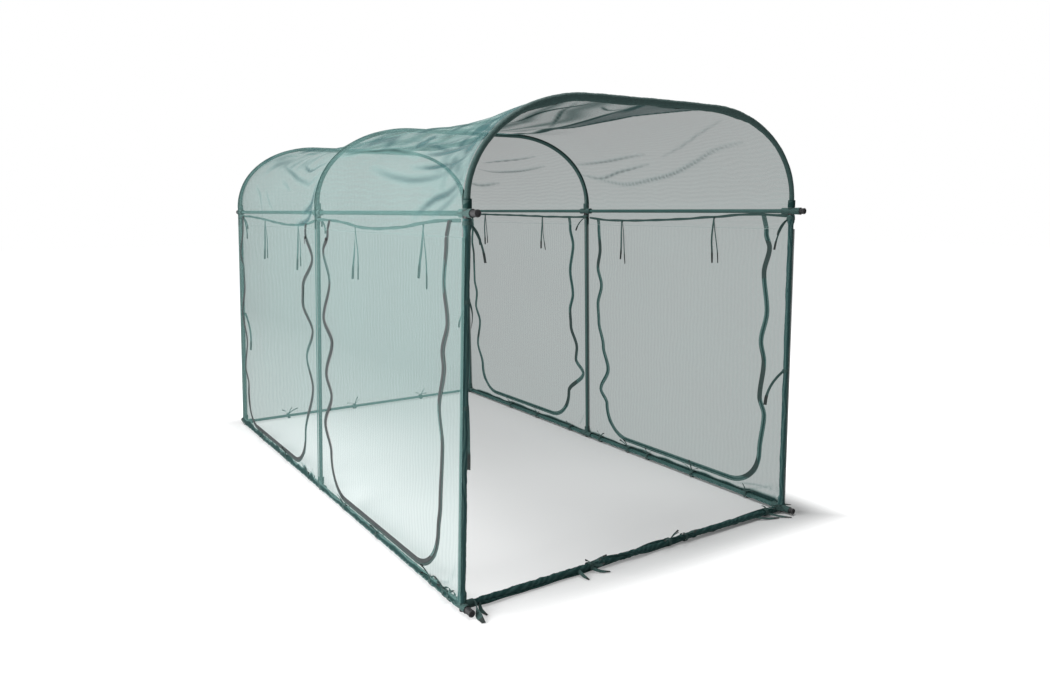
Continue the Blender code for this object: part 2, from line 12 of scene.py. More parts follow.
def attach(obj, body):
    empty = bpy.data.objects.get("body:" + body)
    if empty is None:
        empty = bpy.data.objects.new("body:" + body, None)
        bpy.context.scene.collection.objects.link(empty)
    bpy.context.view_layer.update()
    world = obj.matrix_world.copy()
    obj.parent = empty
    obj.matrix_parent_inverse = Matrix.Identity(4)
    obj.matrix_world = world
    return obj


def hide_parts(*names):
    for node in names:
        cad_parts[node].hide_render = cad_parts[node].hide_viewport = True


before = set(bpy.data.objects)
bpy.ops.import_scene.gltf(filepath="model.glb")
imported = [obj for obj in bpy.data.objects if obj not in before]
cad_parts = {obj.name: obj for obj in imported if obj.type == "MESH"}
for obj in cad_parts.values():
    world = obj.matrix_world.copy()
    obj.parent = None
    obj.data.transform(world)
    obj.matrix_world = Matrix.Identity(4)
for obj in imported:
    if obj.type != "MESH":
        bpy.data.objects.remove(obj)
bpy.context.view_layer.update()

scene = bpy.context.scene
scene.view_settings.view_transform = "Standard"

# Camera
# At eye height off the left of the open front, as the photograph was taken, looking along the left wall into
# the cage. The picture is 1050 by 700, and its optical axis lies a little left of and above the middle.

EYE = np.array([-2.239, -3.854, 1.469])
YAW, PITCH, ROLL = np.radians([31.96, -8.15, -0.21])
LENS_MM = 26.78
SHIFT = (0.0324, -0.0276)


def add_object(name, data):
    """A new object in the scene."""
    made = bpy.data.objects.new(name, data)
    scene.collection.objects.link(made)
    return made


forward = np.array([math.sin(YAW) * math.cos(PITCH), math.cos(YAW) * math.cos(PITCH), math.sin(PITCH)])
level = np.array([math.cos(YAW), -math.sin(YAW), 0.0])
upright = np.cross(level, forward)
right_hand = level * math.cos(ROLL) + upright * math.sin(ROLL)
overhead = upright * math.cos(ROLL) - level * math.sin(ROLL)
lens = bpy.data.cameras.new("camera")
lens.lens = LENS_MM
lens.shift_x, lens.shift_y = SHIFT
camera = add_object("camera", lens)
camera.matrix_world = Matrix.Translation(EYE) @ Matrix(
    np.column_stack([right_hand, overhead, -forward]).tolist()
).to_4x4()
scene.camera = camera

# Studio
# A pale floor that takes the cage's soft shadow, a large lamp low on the left, one high overhead and a little
# light from all round. The surroundings are drawn white as in a cut-out, but through the net the studio's own
# pale grey shows, which is brighter on the lamp's side.

FLOOR_HALF = 30.0
FLOOR_WHITE = "#D2D2D2"
FLOOR_REACH = {"X": 0.95, "Y": 1.55}
# How much the floor inside the cage glows at its left and at its right side: painted light
FLOOR_PAINTED_LIGHT = (0.38, 0.03)
STUDIO_GREY = 0.445
STUDIO_LIT = 0.63


def linear(hex_colour):
    """An sRGB hex colour as linear RGB with alpha 1."""
    values = np.array([int(hex_colour[i:i + 2], 16) for i in (1, 3, 5)]) / 255
    values = np.where(values <= 0.04045, values / 12.92, ((values + 0.055) / 1.055) ** 2.4)
    return (*values.tolist(), 1.0)


def add_node(tree, kind, **values):
    """Add a shader node. A value in small letters is one of its own settings.

    Any other is the name or number of an input, and is a number, a hex colour, a socket or a node to read.
    """
    node = tree.nodes.new("ShaderNode" + kind)
    for key, value in values.items():
        if key[0].islower():
            setattr(node, key, value)
            continue
        socket = node.inputs[int(key[1:]) if key[0] == "_" else key.replace("_", " ")]
        if isinstance(value, bpy.types.Node):
            value = next(output for output in value.outputs if output.enabled)
        if isinstance(value, bpy.types.NodeSocket):
            tree.links.new(value, socket)
        else:
            socket.default_value = linear(value) if isinstance(value, str) else value
    return node


def new_material(name):
    """An empty node material and its tree."""
    material = bpy.data.materials.new(name)
    material.use_nodes = True
    material.node_tree.nodes.clear()
    return material, material.node_tree


def white_to_the_eye(tree):
    """1 for rays from the camera, a mirror-like surface or through glass, else 0."""
    rays = add_node(tree, "LightPath").outputs
    seen = add_node(tree, "Math", operation="MAXIMUM", _0=rays["Is Camera Ray"], _1=rays["Is Glossy Ray"])
    return add_node(tree, "Math", operation="MAXIMUM", _0=seen, _1=rays["Is Transmission Ray"])


def behind_net(tree):
    """0 where the ray comes straight to the eye, 1 where it has passed through net."""
    layers = add_node(tree, "LightPath").outputs["Transparent Depth"]
    return add_node(tree, "Math", operation="MINIMUM", _0=layers, _1=1.0)


# Matt white paint that glows towards its far edges, so that the floor fades into the white surroundings. Inside the
# cage the glow is painted light, stronger on the left, where the lamp is, than on the right
floor_paint, tree = new_material("studio_floor")
axes = add_node(tree, "SeparateXYZ", Vector=add_node(tree, "TexCoord").outputs["Object"]).outputs
past = []
for axis, reach in FLOOR_REACH.items():
    away = add_node(tree, "Math", operation="ABSOLUTE", _0=axes[axis])
    past.append(add_node(tree, "Math", operation="SUBTRACT", _0=away, _1=reach))
past = add_node(tree, "Math", operation="MAXIMUM", _0=past[0], _1=past[1])
# Painted light: inside the footprint the floor glows more on the lamp's side on the left and less towards the right
inside = add_node(tree, "MapRange", Value=axes["X"], From_Min=-0.9, From_Max=0.9,
                  To_Min=FLOOR_PAINTED_LIGHT[0], To_Max=FLOOR_PAINTED_LIGHT[1])
shown = add_node(tree, "MapRange", interpolation_type="SMOOTHSTEP", Value=past,
                 From_Min=0.0, From_Max=0.34, To_Min=inside, To_Max=1.0)
glow = add_node(tree, "Math", operation="MULTIPLY", _0=white_to_the_eye(tree), _1=shown)
matt = add_node(tree, "BsdfDiffuse", Color=FLOOR_WHITE)
open_floor = add_node(tree, "AddShader", _0=matt, _1=add_node(tree, "Emission", Strength=glow))
grey = add_node(tree, "MapRange", Value=axes["X"], From_Min=-1.0, From_Max=0.9,
                To_Min=STUDIO_LIT, To_Max=STUDIO_GREY)
beyond = add_node(tree, "MapRange", interpolation_type="SMOOTHSTEP", Value=past,
                  From_Min=-0.12, From_Max=0.09)
through = add_node(tree, "Math", operation="MULTIPLY", _0=behind_net(tree), _1=beyond)
both = add_node(tree, "MixShader", _0=through, _1=open_floor, _2=add_node(tree, "Emission", Strength=grey))
add_node(tree, "OutputMaterial", Surface=both)
floor_mesh = bpy.data.meshes.new("floor")
corners = [(x * FLOOR_HALF, y * FLOOR_HALF, 0.0) for x, y in ((-1, -1), (1, -1), (1, 1), (-1, 1))]
floor_mesh.from_pydata(corners, [], [(0, 1, 2, 3)])
floor_mesh.materials.append(floor_paint)
floor = add_object("floor", floor_mesh)

world = bpy.data.worlds.new("surroundings")
world.use_nodes = True
scene.world = world
tree = world.node_tree
tree.nodes.clear()
ambient = add_node(tree, "Background", Color="#F2F6F6", Strength=0.12)
level_seen = add_node(tree, "Mix", data_type="FLOAT", _0=behind_net(tree), _2=1.0, _3=STUDIO_GREY)
white = add_node(tree, "Background", Color="#FFFFFF", Strength=level_seen)
mix = add_node(tree, "MixShader", _0=white_to_the_eye(tree), _1=ambient, _2=white)
add_node(tree, "OutputWorld", Surface=mix)


def soft_lamp(name, place, aim, size, watts):
    """A rectangular area lamp at place that faces aim."""
    lamp = bpy.data.lights.new(name, "AREA")
    lamp.shape = "RECTANGLE"
    lamp.size, lamp.size_y = size
    lamp.energy = watts
    holder = add_object(name, lamp)
    holder.location = place
    holder.rotation_euler = (Vector(aim) - Vector(place)).to_track_quat("-Z", "Y").to_euler()


soft_lamp("left_softbox", (-4.1, -0.6, 1.6), (-0.9, -0.9, 1.1), (3.2, 1.8), 225)
soft_lamp("overhead_softbox", (-0.3, -0.6, 6.5), (0.0, -0.2, 0.0), (2.4, 2.4), 310)

# Steel tubes
# 19 mm steel tube with a 0.8 mm wall, powder coated dark green. Each hoop is two bent tubes and a straight
# crown with necked ends, on two legs that lean in 35 mm, with rails at the eaves and on the ground.

BASE_X, EAVE_X = 0.900, 0.865
RAIL_Z, EAVE_Z, CROWN_Z = 0.020, 1.455, 1.887
HOOP_Y = (-1.5, 0.0, 1.5)
BAY = 1.5
CROWN_X, NECK = 0.30, 0.030
TUBE_R, TUBE_WALL = 0.0095, 0.0008
PLAY = 0.0006
SEAT = 0.0123
SOCKET = 0.045
# Where the bent tubes' quarter ellipses have their middle
ARCH_X, ARCH_Z = CROWN_X + NECK, EAVE_Z + SOCKET
TUBE_SIDES = 28
END_NAMES = ("front", "middle", "rear")
SIDES = {"left": -1, "right": 1}
BAY_NAMES = ("front", "rear")
WALL_BAYS = [(f"{name}_{bay}", side, y) for name, side in SIDES.items() for bay, y in zip(BAY_NAMES, HOOP_Y)]
COVER = "frame_and_cover"


def coords(*axes):
    """Points from their coordinates, each an array or one number for all."""
    return np.stack(np.broadcast_arrays(*axes), axis=-1)


def crossed(first, second):
    """The two numbers of each place of a grid, as two arrays."""
    return np.meshgrid(first, second, indexing="ij")


def once_round(count):
    """Evenly spaced angles once round a circle."""
    return np.linspace(0, 2 * math.pi, count, endpoint=False)


def polar(radius, angle):
    """Points of a section by their distance from its middle and their angle round it."""
    return coords(radius * np.cos(angle), radius * np.sin(angle))


def unit(vectors):
    """Vectors scaled to length 1."""
    return vectors / np.maximum(np.linalg.norm(vectors, axis=-1, keepdims=True), 1e-12)


def sweep(path, across, section):
    """Carry a section along a path, as a grid of points.

    At each point the section's first coordinate is measured along the path's tangent times across, and its
    second along the side that is square to both. section is (k, 2), or (n, k, 2) where it changes.
    """
    tangent = unit(np.gradient(path, axis=0))
    out = unit(np.cross(tangent, np.broadcast_to(across, path.shape)))
    side = np.cross(out, tangent)
    section = np.broadcast_to(section, (len(path), *np.shape(section)[-2:]))
    return path[:, None] + section[..., :1] * out[:, None] + section[..., 1:] * side[:, None]


def capped(grid):
    """Close both ends of a swept grid with a fan from the middle of its end ring."""
    ends = [np.broadcast_to(grid[i].mean(axis=0), grid[i].shape)[None] for i in (0, -1)]
    return np.concatenate([ends[0], grid, ends[1]])


def pipe(path, across, radius, wall, sides=TUBE_SIDES):
    """A tube with open ends: its outer skin from start to end, then its inner skin back, closed both ways."""
    radius = np.broadcast_to(radius, len(path))[:, None, None]
    circle = polar(1, once_round(sides))
    inner = sweep(path, across, circle * (radius - wall))
    return np.concatenate([sweep(path, across, circle * radius), inner[::-1]])


def quads_of(shape, wrap=(False, False)):
    """Corner numbers of the quads of a grid, joined up where wrap says so."""
    index = np.arange(shape[0] * shape[1]).reshape(shape[:2])
    if wrap[0]:
        index = np.vstack([index, index[:1]])
    if wrap[1]:
        index = np.hstack([index, index[:, :1]])
    stack = [index[:-1, :-1], index[1:, :-1], index[1:, 1:], index[:-1, 1:]]
    return np.stack(stack, axis=-1).reshape(-1, 4)


def mesh_piece(name, grids, material, wrap=(False, False), uv=None, marks=None, crease=40, outward=True):
    """Make one piece from one or more grids of points, as one mesh with smooth shading.

    uv is a matching list of (n, m, 2) grids in metres, and marks a dict of lists of (n, m) grids that become
    point attributes. A closed piece is turned so that its faces point out.
    """
    points, faces, start = [], [], 0
    for grid in grids:
        points.append(grid.reshape(-1, 3))
        faces.append(quads_of(grid.shape, wrap) + start)
        start += len(points[-1])
    points, faces = np.concatenate(points), np.concatenate(faces)
    if outward and any(wrap):
        a, b, c, d = (points[faces[:, i]] for i in range(4))
        volume = np.einsum("ij,ij->", a, np.cross(b, c)) + np.einsum("ij,ij->", a, np.cross(c, d))
        if volume < 0:
            faces = faces[:, ::-1]
    mesh = bpy.data.meshes.new(name)
    mesh.vertices.add(len(points))
    mesh.vertices.foreach_set("co", points.ravel())
    mesh.loops.add(faces.size)
    mesh.loops.foreach_set("vertex_index", faces.ravel().astype(np.int32))
    mesh.polygons.add(len(faces))
    mesh.polygons.foreach_set("loop_start", np.arange(0, faces.size, 4, dtype=np.int32))
    mesh.update(calc_edges=True)
    if uv is not None:
        flat = np.concatenate([u.reshape(-1, 2) for u in uv])
        layer = mesh.uv_layers.new(name="cloth")
        layer.data.foreach_set("uv", flat[faces.ravel()].ravel().astype(np.float32))
    for key, values in (marks or {}).items():
        attribute = mesh.attributes.new(key, "FLOAT", "POINT")
        attribute.data.foreach_set("value", np.concatenate([v.ravel() for v in values]).astype(np.float32))
    mesh.shade_smooth()
    if crease:
        mesh.set_sharp_from_angle(angle=math.radians(crease))
    mesh.materials.append(material)
    return add_object(name, mesh)


def finish_piece(piece, body, slot, *nodes):
    """Tie a piece to its body, and let it stand for its CAD nodes. slot is not used."""
    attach(piece, body)
    if nodes:
        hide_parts(*nodes)
    return piece


def build(name, grids, material, body, slot, *nodes, **form):
    """Make a piece as mesh_piece does, and finish it."""
    return finish_piece(mesh_piece(name, grids, material, **form), body, slot, *nodes)


def speckled(name, grain, patches, tones, gloss, relief):
    """A material whose tone and gloss follow one noise, and its bump a finer one. A noise is (scale, detail)."""
    material, tree = new_material(name)
    place = add_node(tree, "TexCoord").outputs["Object"]
    fine, broad = (add_node(tree, "TexNoise", Vector=place, Scale=s, Detail=d) for s, d in (grain, patches))
    tone = add_node(tree, "Mix", data_type="RGBA", _0=broad, _6=tones[0], _7=tones[1])
    rough = add_node(tree, "MapRange", Value=broad, To_Min=gloss[0], To_Max=gloss[1])
    bump = add_node(tree, "Bump", Strength=relief[0], Distance=relief[1], Height=fine)
    shader = add_node(tree, "BsdfPrincipled", Base_Color=tone, Roughness=rough, Normal=bump)
    add_node(tree, "OutputMaterial", Surface=shader)
    return material


# Powder coat: a satin skin with a fine orange peel of about 1.5 mm and small changes of gloss
tube_coat = speckled("green_powder_coat", (650.0, 2.0), (9.0, 3.0), ("#234441", "#2E5551"), (0.34, 0.5),
                     (0.25, 0.0004))

LEG = math.hypot(EAVE_Z - RAIL_Z, BASE_X - EAVE_X)
LEAN = np.array([BASE_X - EAVE_X, EAVE_Z - RAIL_Z]) / LEG


def leg_point(side, along, y):
    """A point on a leg's axis, by its distance up the leg from the ground rail's axis."""
    share = np.asarray(along, float) / LEG
    x = side * (BASE_X + (EAVE_X - BASE_X) * share)
    return coords(x, y, RAIL_Z + (EAVE_Z - RAIL_Z) * share)


def bend_path(side, y, start=EAVE_Z + SEAT, finish=CROWN_X + 0.0003, steps=48):
    """A hoop's half: straight up out of the eave joint, a quarter ellipse, and straight to the crown tube."""
    angle = np.linspace(0, math.pi / 2, steps)
    x = np.concatenate([[EAVE_X], ARCH_X + (EAVE_X - ARCH_X) * np.cos(angle), [finish]])
    z = np.concatenate([[start], ARCH_Z + (CROWN_Z - ARCH_Z) * np.sin(angle), [CROWN_Z]])
    return coords(side * x, y, z)


ALONG_Y, ALONG_X = np.array([0.0, 1.0, 0.0]), np.array([1.0, 0.0, 0.0])


def add_tube(name, path, across, radius=TUBE_R, crease=40, node=None):
    """Build one tube of the frame. It stands for the CAD node of its own name, unless node says another."""
    grid = pipe(path, across, radius, TUBE_WALL)
    build(f"{name}_tube", [grid], tube_coat, COVER, "tube_coating", node or name, wrap=(True, True), crease=crease)


for end, y in zip(END_NAMES, HOOP_Y):
    for name, side in SIDES.items():
        add_tube(f"{end}_{name}_leg", leg_point(side, np.array([SEAT, LEG - SEAT]), y), ALONG_Y)
        add_tube(f"{end}_{name}_bent", bend_path(side, y), ALONG_Y, node=f"{end}_{name}_bend")
    tip, shoulder = ARCH_X - PLAY, CROWN_X - 2 * PLAY
    neck = TUBE_R - TUBE_WALL - PLAY
    x = np.array([-tip, -CROWN_X, -shoulder, shoulder, CROWN_X, tip])
    radius = np.array([neck, neck, TUBE_R, TUBE_R, neck, neck])
    add_tube(f"{end}_crown", coords(x, y, CROWN_Z), ALONG_Y, radius, crease=25)
for bay, side, y in WALL_BAYS:
    for level, x, z in (("eave", EAVE_X, EAVE_Z), ("ground", BASE_X, RAIL_Z)):
        add_tube(f"{bay}_{level}_rail", coords(side * x, [y + SEAT, y + BAY - SEAT], z), ALONG_X)
reach = BASE_X - SEAT
for end, y in (("front", HOOP_Y[0]), ("rear", HOOP_Y[-1])):
    add_tube(f"{end}_cross_rail", coords([-reach, reach], y, RAIL_Z), ALONG_Y)

# Moulded joints
# Black polypropylene, injection moulded: a hub with sockets for the tubes, a thicker lip at each mouth, and
# fillets where the sockets meet. The end joints keep an empty boss that stands out past the hoop.

JOINT_R, LIP_R = 0.0131, 0.0140
BORE_R = 0.0098
LIP = 0.006
SOCKET_FLOOR = 0.012
BOSS = 0.072
DIMPLE = 0.006
FOOT_R = 0.0105
JOINT_VOXEL = 0.0013

# Moulded polypropylene: a matt black skin with a grain of about 1 mm and slightly shinier patches
joint_plastic = speckled("black_polypropylene", (900.0, 2.0), (60.0, 4.0), ("#0E0E10", "#1B1B1E"), (0.5, 0.7),
                         (0.3, 0.0003))


def square_to(axis, helper, spare):
    """Two unit vectors square to an axis and each other, the first also to helper, or to spare if it is nearer."""
    first = unit(np.cross(axis, helper if abs(axis @ helper) < 0.5 else spare))
    return first, np.cross(axis, first)


def soft(values, power):
    """Sines or cosines made boxier: their sign times their size to a power."""
    return np.sign(values) * np.abs(values) ** power


def ball(rows, columns, power=1):
    """A closed ball of radius 1 from the soft sines and cosines of two angles; a power below 1 makes it boxy."""
    up, turn = crossed(np.linspace(0, math.pi, rows), once_round(columns))
    level = soft(np.sin(up), power)
    return coords(level * soft(np.cos(turn), power), level * soft(np.sin(turn), power), soft(np.cos(up), power))


def socket(centre, direction, reach, floor):
    """A turned cup along a direction: outside with a lip at its mouth, and a blind bore down to floor."""
    first, second = square_to(direction, ALONG_X, ALONG_Y)
    along = np.array([0, 0, reach - LIP - 0.001, reach - LIP, reach - 0.0008, reach, reach, floor, floor])
    radius = np.array([0, JOINT_R, JOINT_R, LIP_R, LIP_R, LIP_R - 0.0008, BORE_R, BORE_R, 0.0001])
    circle = polar(1, once_round(32))
    around = circle[:, :1] * first + circle[:, 1:] * second
    return centre + along[:, None, None] * direction + radius[:, None, None] * around


def moulded(name, centre, cups, foot=False):
    """Fuse a hub, its cups and its foot into one moulding with rounded inner corners."""
    centre = np.asarray(centre, float)
    circle = polar(1, once_round(32))
    grids = [ball(17, 32) * (LIP_R - 0.0002) + centre] + [socket(centre, *cup) for cup in cups]
    if foot:
        radius = np.array([0.0001, FOOT_R, FOOT_R + 0.001, JOINT_R - 0.002, 0.0001])
        height = np.array([0.0, 0.0, 0.001, centre[2], centre[2]])
        foot_x, foot_y = (centre[k] + np.outer(radius, circle[:, k]) for k in (0, 1))
        grids.append(coords(foot_x, foot_y, height[:, None]))
    rough = mesh_piece(f"{name}_rough", grids, joint_plastic, (False, True), outward=False)
    blend = rough.modifiers.new("fuse", "REMESH")
    blend.mode = "VOXEL"
    blend.voxel_size = JOINT_VOXEL
    blend.use_smooth_shade = True
    soften = rough.modifiers.new("fillets", "SMOOTH")
    soften.factor, soften.iterations = 0.5, 3
    bpy.context.view_layer.update()
    mesh = bpy.data.meshes.new_from_object(rough.evaluated_get(bpy.context.evaluated_depsgraph_get()))
    mesh.name = f"{name}_moulding"
    bpy.data.objects.remove(rough)
    mesh.shade_smooth()
    finish_piece(add_object(mesh.name, mesh), COVER, "joint_plastic", f"{name}_joint")


UP = np.array([0.0, 0.0, 1.0])
cup, boss = (SOCKET, SOCKET_FLOOR), (BOSS, BOSS - DIMPLE)
for i, (end, y) in enumerate(zip(END_NAMES, HOOP_Y)):
    for name, side in SIDES.items():
        up_leg = np.array([-side * LEAN[0], 0.0, LEAN[1]])
        run = [(-ALONG_Y, *(boss if i == 0 else cup)), (ALONG_Y, *(boss if i == 2 else cup))]
        moulded(f"{end}_{name}_eave", (side * EAVE_X, y, EAVE_Z), run + [(UP, *cup), (-up_leg, *cup)])
        across = [] if i == 1 else [(-side * ALONG_X, *cup)]
        moulded(f"{end}_{name}_base", (side * BASE_X, y, RAIL_Z), run + [(up_leg, *cup)] + across, foot=True)

# Net cloth
# Fine insect net, knitted from dark green polyethylene thread about 0.2 mm thick, with 1.5 mm holes. A single
# layer holds back about a fifth of the light; where it hangs in folds or is doubled for a hem, far more.

NET_BASE_COVER = 0.17
WEAVE_PITCH, RIPPLE_PITCH = 0.008, 0.025
# A wave texture of scale 1 repeats every so many metres
WAVE = 0.314

net_cloth, tree = new_material("green_knitted_net")
sheet_place = add_node(tree, "UVMap", uv_map="cloth")
fold, hem = (add_node(tree, "Attribute", attribute_name=mark).outputs["Fac"] for mark in ("fold", "hem"))
# The knit is drawn five times too coarse, so that it shows, and drifts a little as a pulled net does
drift = add_node(tree, "TexNoise", Vector=sheet_place, Scale=5.0, Detail=1.0).outputs["Color"]
pulled = add_node(tree, "VectorMath", operation="SCALE", Vector=drift, Scale=0.02)
drawn = add_node(tree, "VectorMath", operation="ADD", _0=sheet_place, _1=pulled)
rows, wales = (add_node(tree, "TexWave", bands_direction=way, Vector=drawn, Scale=WAVE / WEAVE_PITCH)
               for way in "XY")
knit = add_node(tree, "Math", operation="ADD", _0=rows.outputs["Fac"], _1=wales.outputs["Fac"])
mottle = add_node(tree, "TexNoise", Vector=sheet_place, Scale=2.5, Detail=3.0)
cover = add_node(tree, "MapRange", clamp=False, Value=knit, From_Max=2.0,
                 To_Min=NET_BASE_COVER - 0.06, To_Max=NET_BASE_COVER + 0.02)
# Where the knit lies slantwise to the eye its rows crowd into soft ripples about 25 mm apart
ripple = add_node(tree, "TexWave", bands_direction="X", Vector=drawn, Scale=WAVE / RIPPLE_PITCH,
                  Distortion=5.0, Detail=1.5, Detail_Scale=0.7).outputs["Fac"]
for amount, share in ((mottle, 0.05), (ripple, 0.05), (fold, 0.72), (hem, 0.80)):
    cover = add_node(tree, "Math", operation="MULTIPLY_ADD", use_clamp=amount is hem,
                     _0=amount, _1=share, _2=cover)
# Painted shade: the colour darkens from pale aqua to teal in folds and to near black green where the hem mark is
# full, as where threads crowd and shade each other
deep = add_node(tree, "Math", operation="MULTIPLY", use_clamp=True, _0=fold, _1=1.5)
bunched = add_node(tree, "Mix", data_type="RGBA", _0=deep, _6="#8CB6B1", _7="#385B5C")
tone = add_node(tree, "Mix", data_type="RGBA", _0=hem, _6=bunched, _7="#1A3836")
bump = add_node(tree, "Bump", Strength=0.2, Distance=0.001, Height=knit)
net_thread = add_node(tree, "BsdfPrincipled", Base_Color=tone, Roughness=0.75, Alpha=cover, Normal=bump,
                      Sheen_Weight=0.02, Sheen_Roughness=0.5, Sheen_Tint="#DDF0EE", Specular_IOR_Level=0.12)
add_node(tree, "OutputMaterial", Surface=net_thread)


def length_along(path):
    """Distance along a path at each of its points."""
    return np.concatenate([[0], np.cumsum(np.linalg.norm(np.diff(path, axis=0), axis=1))])


def smooth_line(points, count):
    """A smooth line through points: cubic between them by chord length, with the slope of the two neighbours."""
    points = np.asarray(points, float)
    length = length_along(points)
    if len(points) > 2:
        slope = np.gradient(points, length, axis=0)
    else:
        slope = np.diff(points, axis=0)[[0, 0]] / length[1]
    t = np.linspace(0, length[-1], count)
    i = np.clip(np.searchsorted(length, t) - 1, 0, len(points) - 2)
    gap = (length[i + 1] - length[i])[:, None]
    u = ((t - length[i]) / gap[:, 0])[:, None]
    return ((2 * u ** 3 - 3 * u ** 2 + 1) * points[i] + (u ** 3 - 2 * u ** 2 + u) * gap * slope[i]
            + (3 * u ** 2 - 2 * u ** 3) * points[i + 1] + (u ** 3 - u ** 2) * gap * slope[i + 1])


def ease(values, start, finish):
    """0 below start, 1 above finish, and a smooth rise between."""
    t = np.clip((np.asarray(values) - start) / (finish - start), 0, 1)
    return t * t * (3 - 2 * t)


def fold_depth(a, b, strokes):
    """How deep each point (a, b) of a cloth lies in its folds.

    A fold runs along a smooth line and falls off to its sides as a bell curve of its width. It is full in
    its middle and fades to its ends, and the deepest fold at a point counts.
    """
    depth = np.zeros(np.shape(a))
    for points, width, strength in strokes:
        line = smooth_line(points, 40)
        low, high = line.min(axis=0) - 3 * width, line.max(axis=0) + 3 * width
        near = (a > low[0]) & (a < high[0]) & (b > low[1]) & (b < high[1])
        away = (a[near][:, None] - line[:, 0]) ** 2 + (b[near][:, None] - line[:, 1]) ** 2
        fade = np.sin(np.linspace(0.12, math.pi - 0.12, len(line))) ** 0.6
        value = (np.exp(-away / width ** 2) * fade).max(axis=1) * strength
        depth[near] = np.maximum(depth[near], value)
    return depth


def slack(a, b, seed, length, size):
    """Soft unevenness of a cloth: twelve long sine waves of random direction and phase, added."""
    chance = np.random.default_rng(seed)
    total = np.zeros(np.shape(a))
    for turn, phase, stretch in zip(chance.uniform(0, math.pi, 12), chance.uniform(0, 7, 12),
                                    chance.uniform(0.6, 1.8, 12)):
        wave = (a * math.cos(turn) + b * math.sin(turn)) * 2 * math.pi / (length * stretch)
        total += np.sin(wave + phase)
    return total * size / 3.5


def net_piece(name, parts, node, body=COVER):
    """Build a piece of net from parts: points, places on the flat cloth, and how folded and how hemmed it is."""
    grids, uv, *marks = zip(*parts)
    marks = {key: [np.broadcast_to(value, grid.shape[:2]) for value, grid in zip(values, grids)]
             for key, values in zip(("fold", "hem"), marks) if values[0] is not None}
    return build(name, grids, net_cloth, body, "net", node, uv=uv, marks=marks, crease=0)


# Roof net
# One wide sheet over the three hoops, from the door heads on one side to those on the other. It hangs in a
# shallow sag in each bay, with folds that fan out from where the hoops hold it.

WALL_GAP, ARCH_GAP = 0.01535, 0.01055
DOOR_TOP = EAVE_Z - 0.083
ROOF_SAG = 0.045
SAG_START = 0.015
ROOF_ENDS = (-1.491, 1.5143)
ROOF_GRID = (400, 236)
# A seam is sewn along the net over the middle and rear hoops, and the grid has rows at its edges
SEAM = (0.0085, 0.0135)
# How far a sleeve round a tube laps over itself
LAP = np.linspace(-0.5, 2 * math.pi + 0.3, 26)
CUFF_R = 0.0153

# Each fold: (distance round from the middle of the crown, y) points, width and depth. Left is negative.
ROOF_FOLDS = [
    ([(-0.72, 1.13), (-0.83, 0.71), (-0.93, 0.29), (-0.95, 0.12), (-0.90, 0.02)], 0.016, 0.8),
    ([(-0.76, 0.62), (-0.86, 0.27), (-0.84, 0.02)], 0.014, 0.8),
    ([(-0.95, 0.02), (-1.05, 0.04), (-1.11, 0.19)], 0.018, 0.9),
    ([(-1.02, 0.02), (-1.12, 0.08), (-1.17, 0.30)], 0.016, 0.9),
    ([(-0.93, 1.19), (-1.06, 0.96), (-1.14, 0.93)], 0.009, 0.5),
    ([(-0.96, 0.94), (-1.09, 0.72)], 0.009, 0.4),
    ([(-0.90, 0.72), (-0.98, 0.45)], 0.010, 0.4),
    ([(-0.77, -1.49), (-0.82, -1.42), (-0.85, -1.25), (-0.84, -1.00)], 0.018, 0.9),
    ([(-0.83, -1.49), (-0.85, -1.31), (-0.77, -0.96), (-0.74, -0.66)], 0.018, 0.8),
    ([(-0.82, -1.49), (-0.89, -1.44), (-0.92, -1.25), (-0.91, -1.01)], 0.014, 0.9),
    ([(-0.88, -1.49), (-0.93, -1.43), (-0.96, -1.31), (-0.97, -1.08), (-0.95, -0.90), (-0.88, -0.55)], 0.020, 0.7),
    ([(-0.93, -1.49), (-1.00, -1.45), (-1.06, -1.27), (-1.12, -1.11)], 0.018, 0.8),
    ([(-1.01, -1.49), (-1.06, -1.41), (-1.12, -1.25)], 0.014, 0.6),
    ([(-0.70, -1.49), (-0.75, -1.36), (-0.78, -1.15), (-0.73, -0.80)], 0.016, 0.7),
    ([(-0.62, -1.48), (-0.68, -1.25), (-0.70, -0.90), (-0.66, -0.50)], 0.016, 0.6),
    ([(-0.90, -0.97), (-0.92, -1.20), (-0.90, -1.36)], 0.009, 0.6),
    ([(0.80, -0.03), (0.78, -0.27), (0.75, -0.50), (0.73, -0.70)], 0.011, 0.6),
    ([(0.88, -0.02), (0.90, -0.18), (0.85, -0.41), (0.81, -0.66)], 0.010, 0.7),
    ([(0.90, -0.12), (0.94, -0.39), (0.92, -0.58), (0.89, -0.77), (0.82, -0.99), (0.76, -1.15), (0.73, -1.33)],
     0.013, 0.65),
    ([(0.65, 0.82), (0.66, 0.52), (0.67, 0.25)], 0.009, 0.8),
    ([(0.74, 1.02), (0.78, 0.73), (0.78, 0.50), (0.77, 0.26)], 0.010, 0.8),
    ([(0.52, -1.38), (0.61, -1.18), (0.70, -0.97), (0.76, -0.81)], 0.010, 0.35),
    ([(0.85, 1.48), (0.90, 1.20), (0.88, 0.90)], 0.012, 0.6),
]
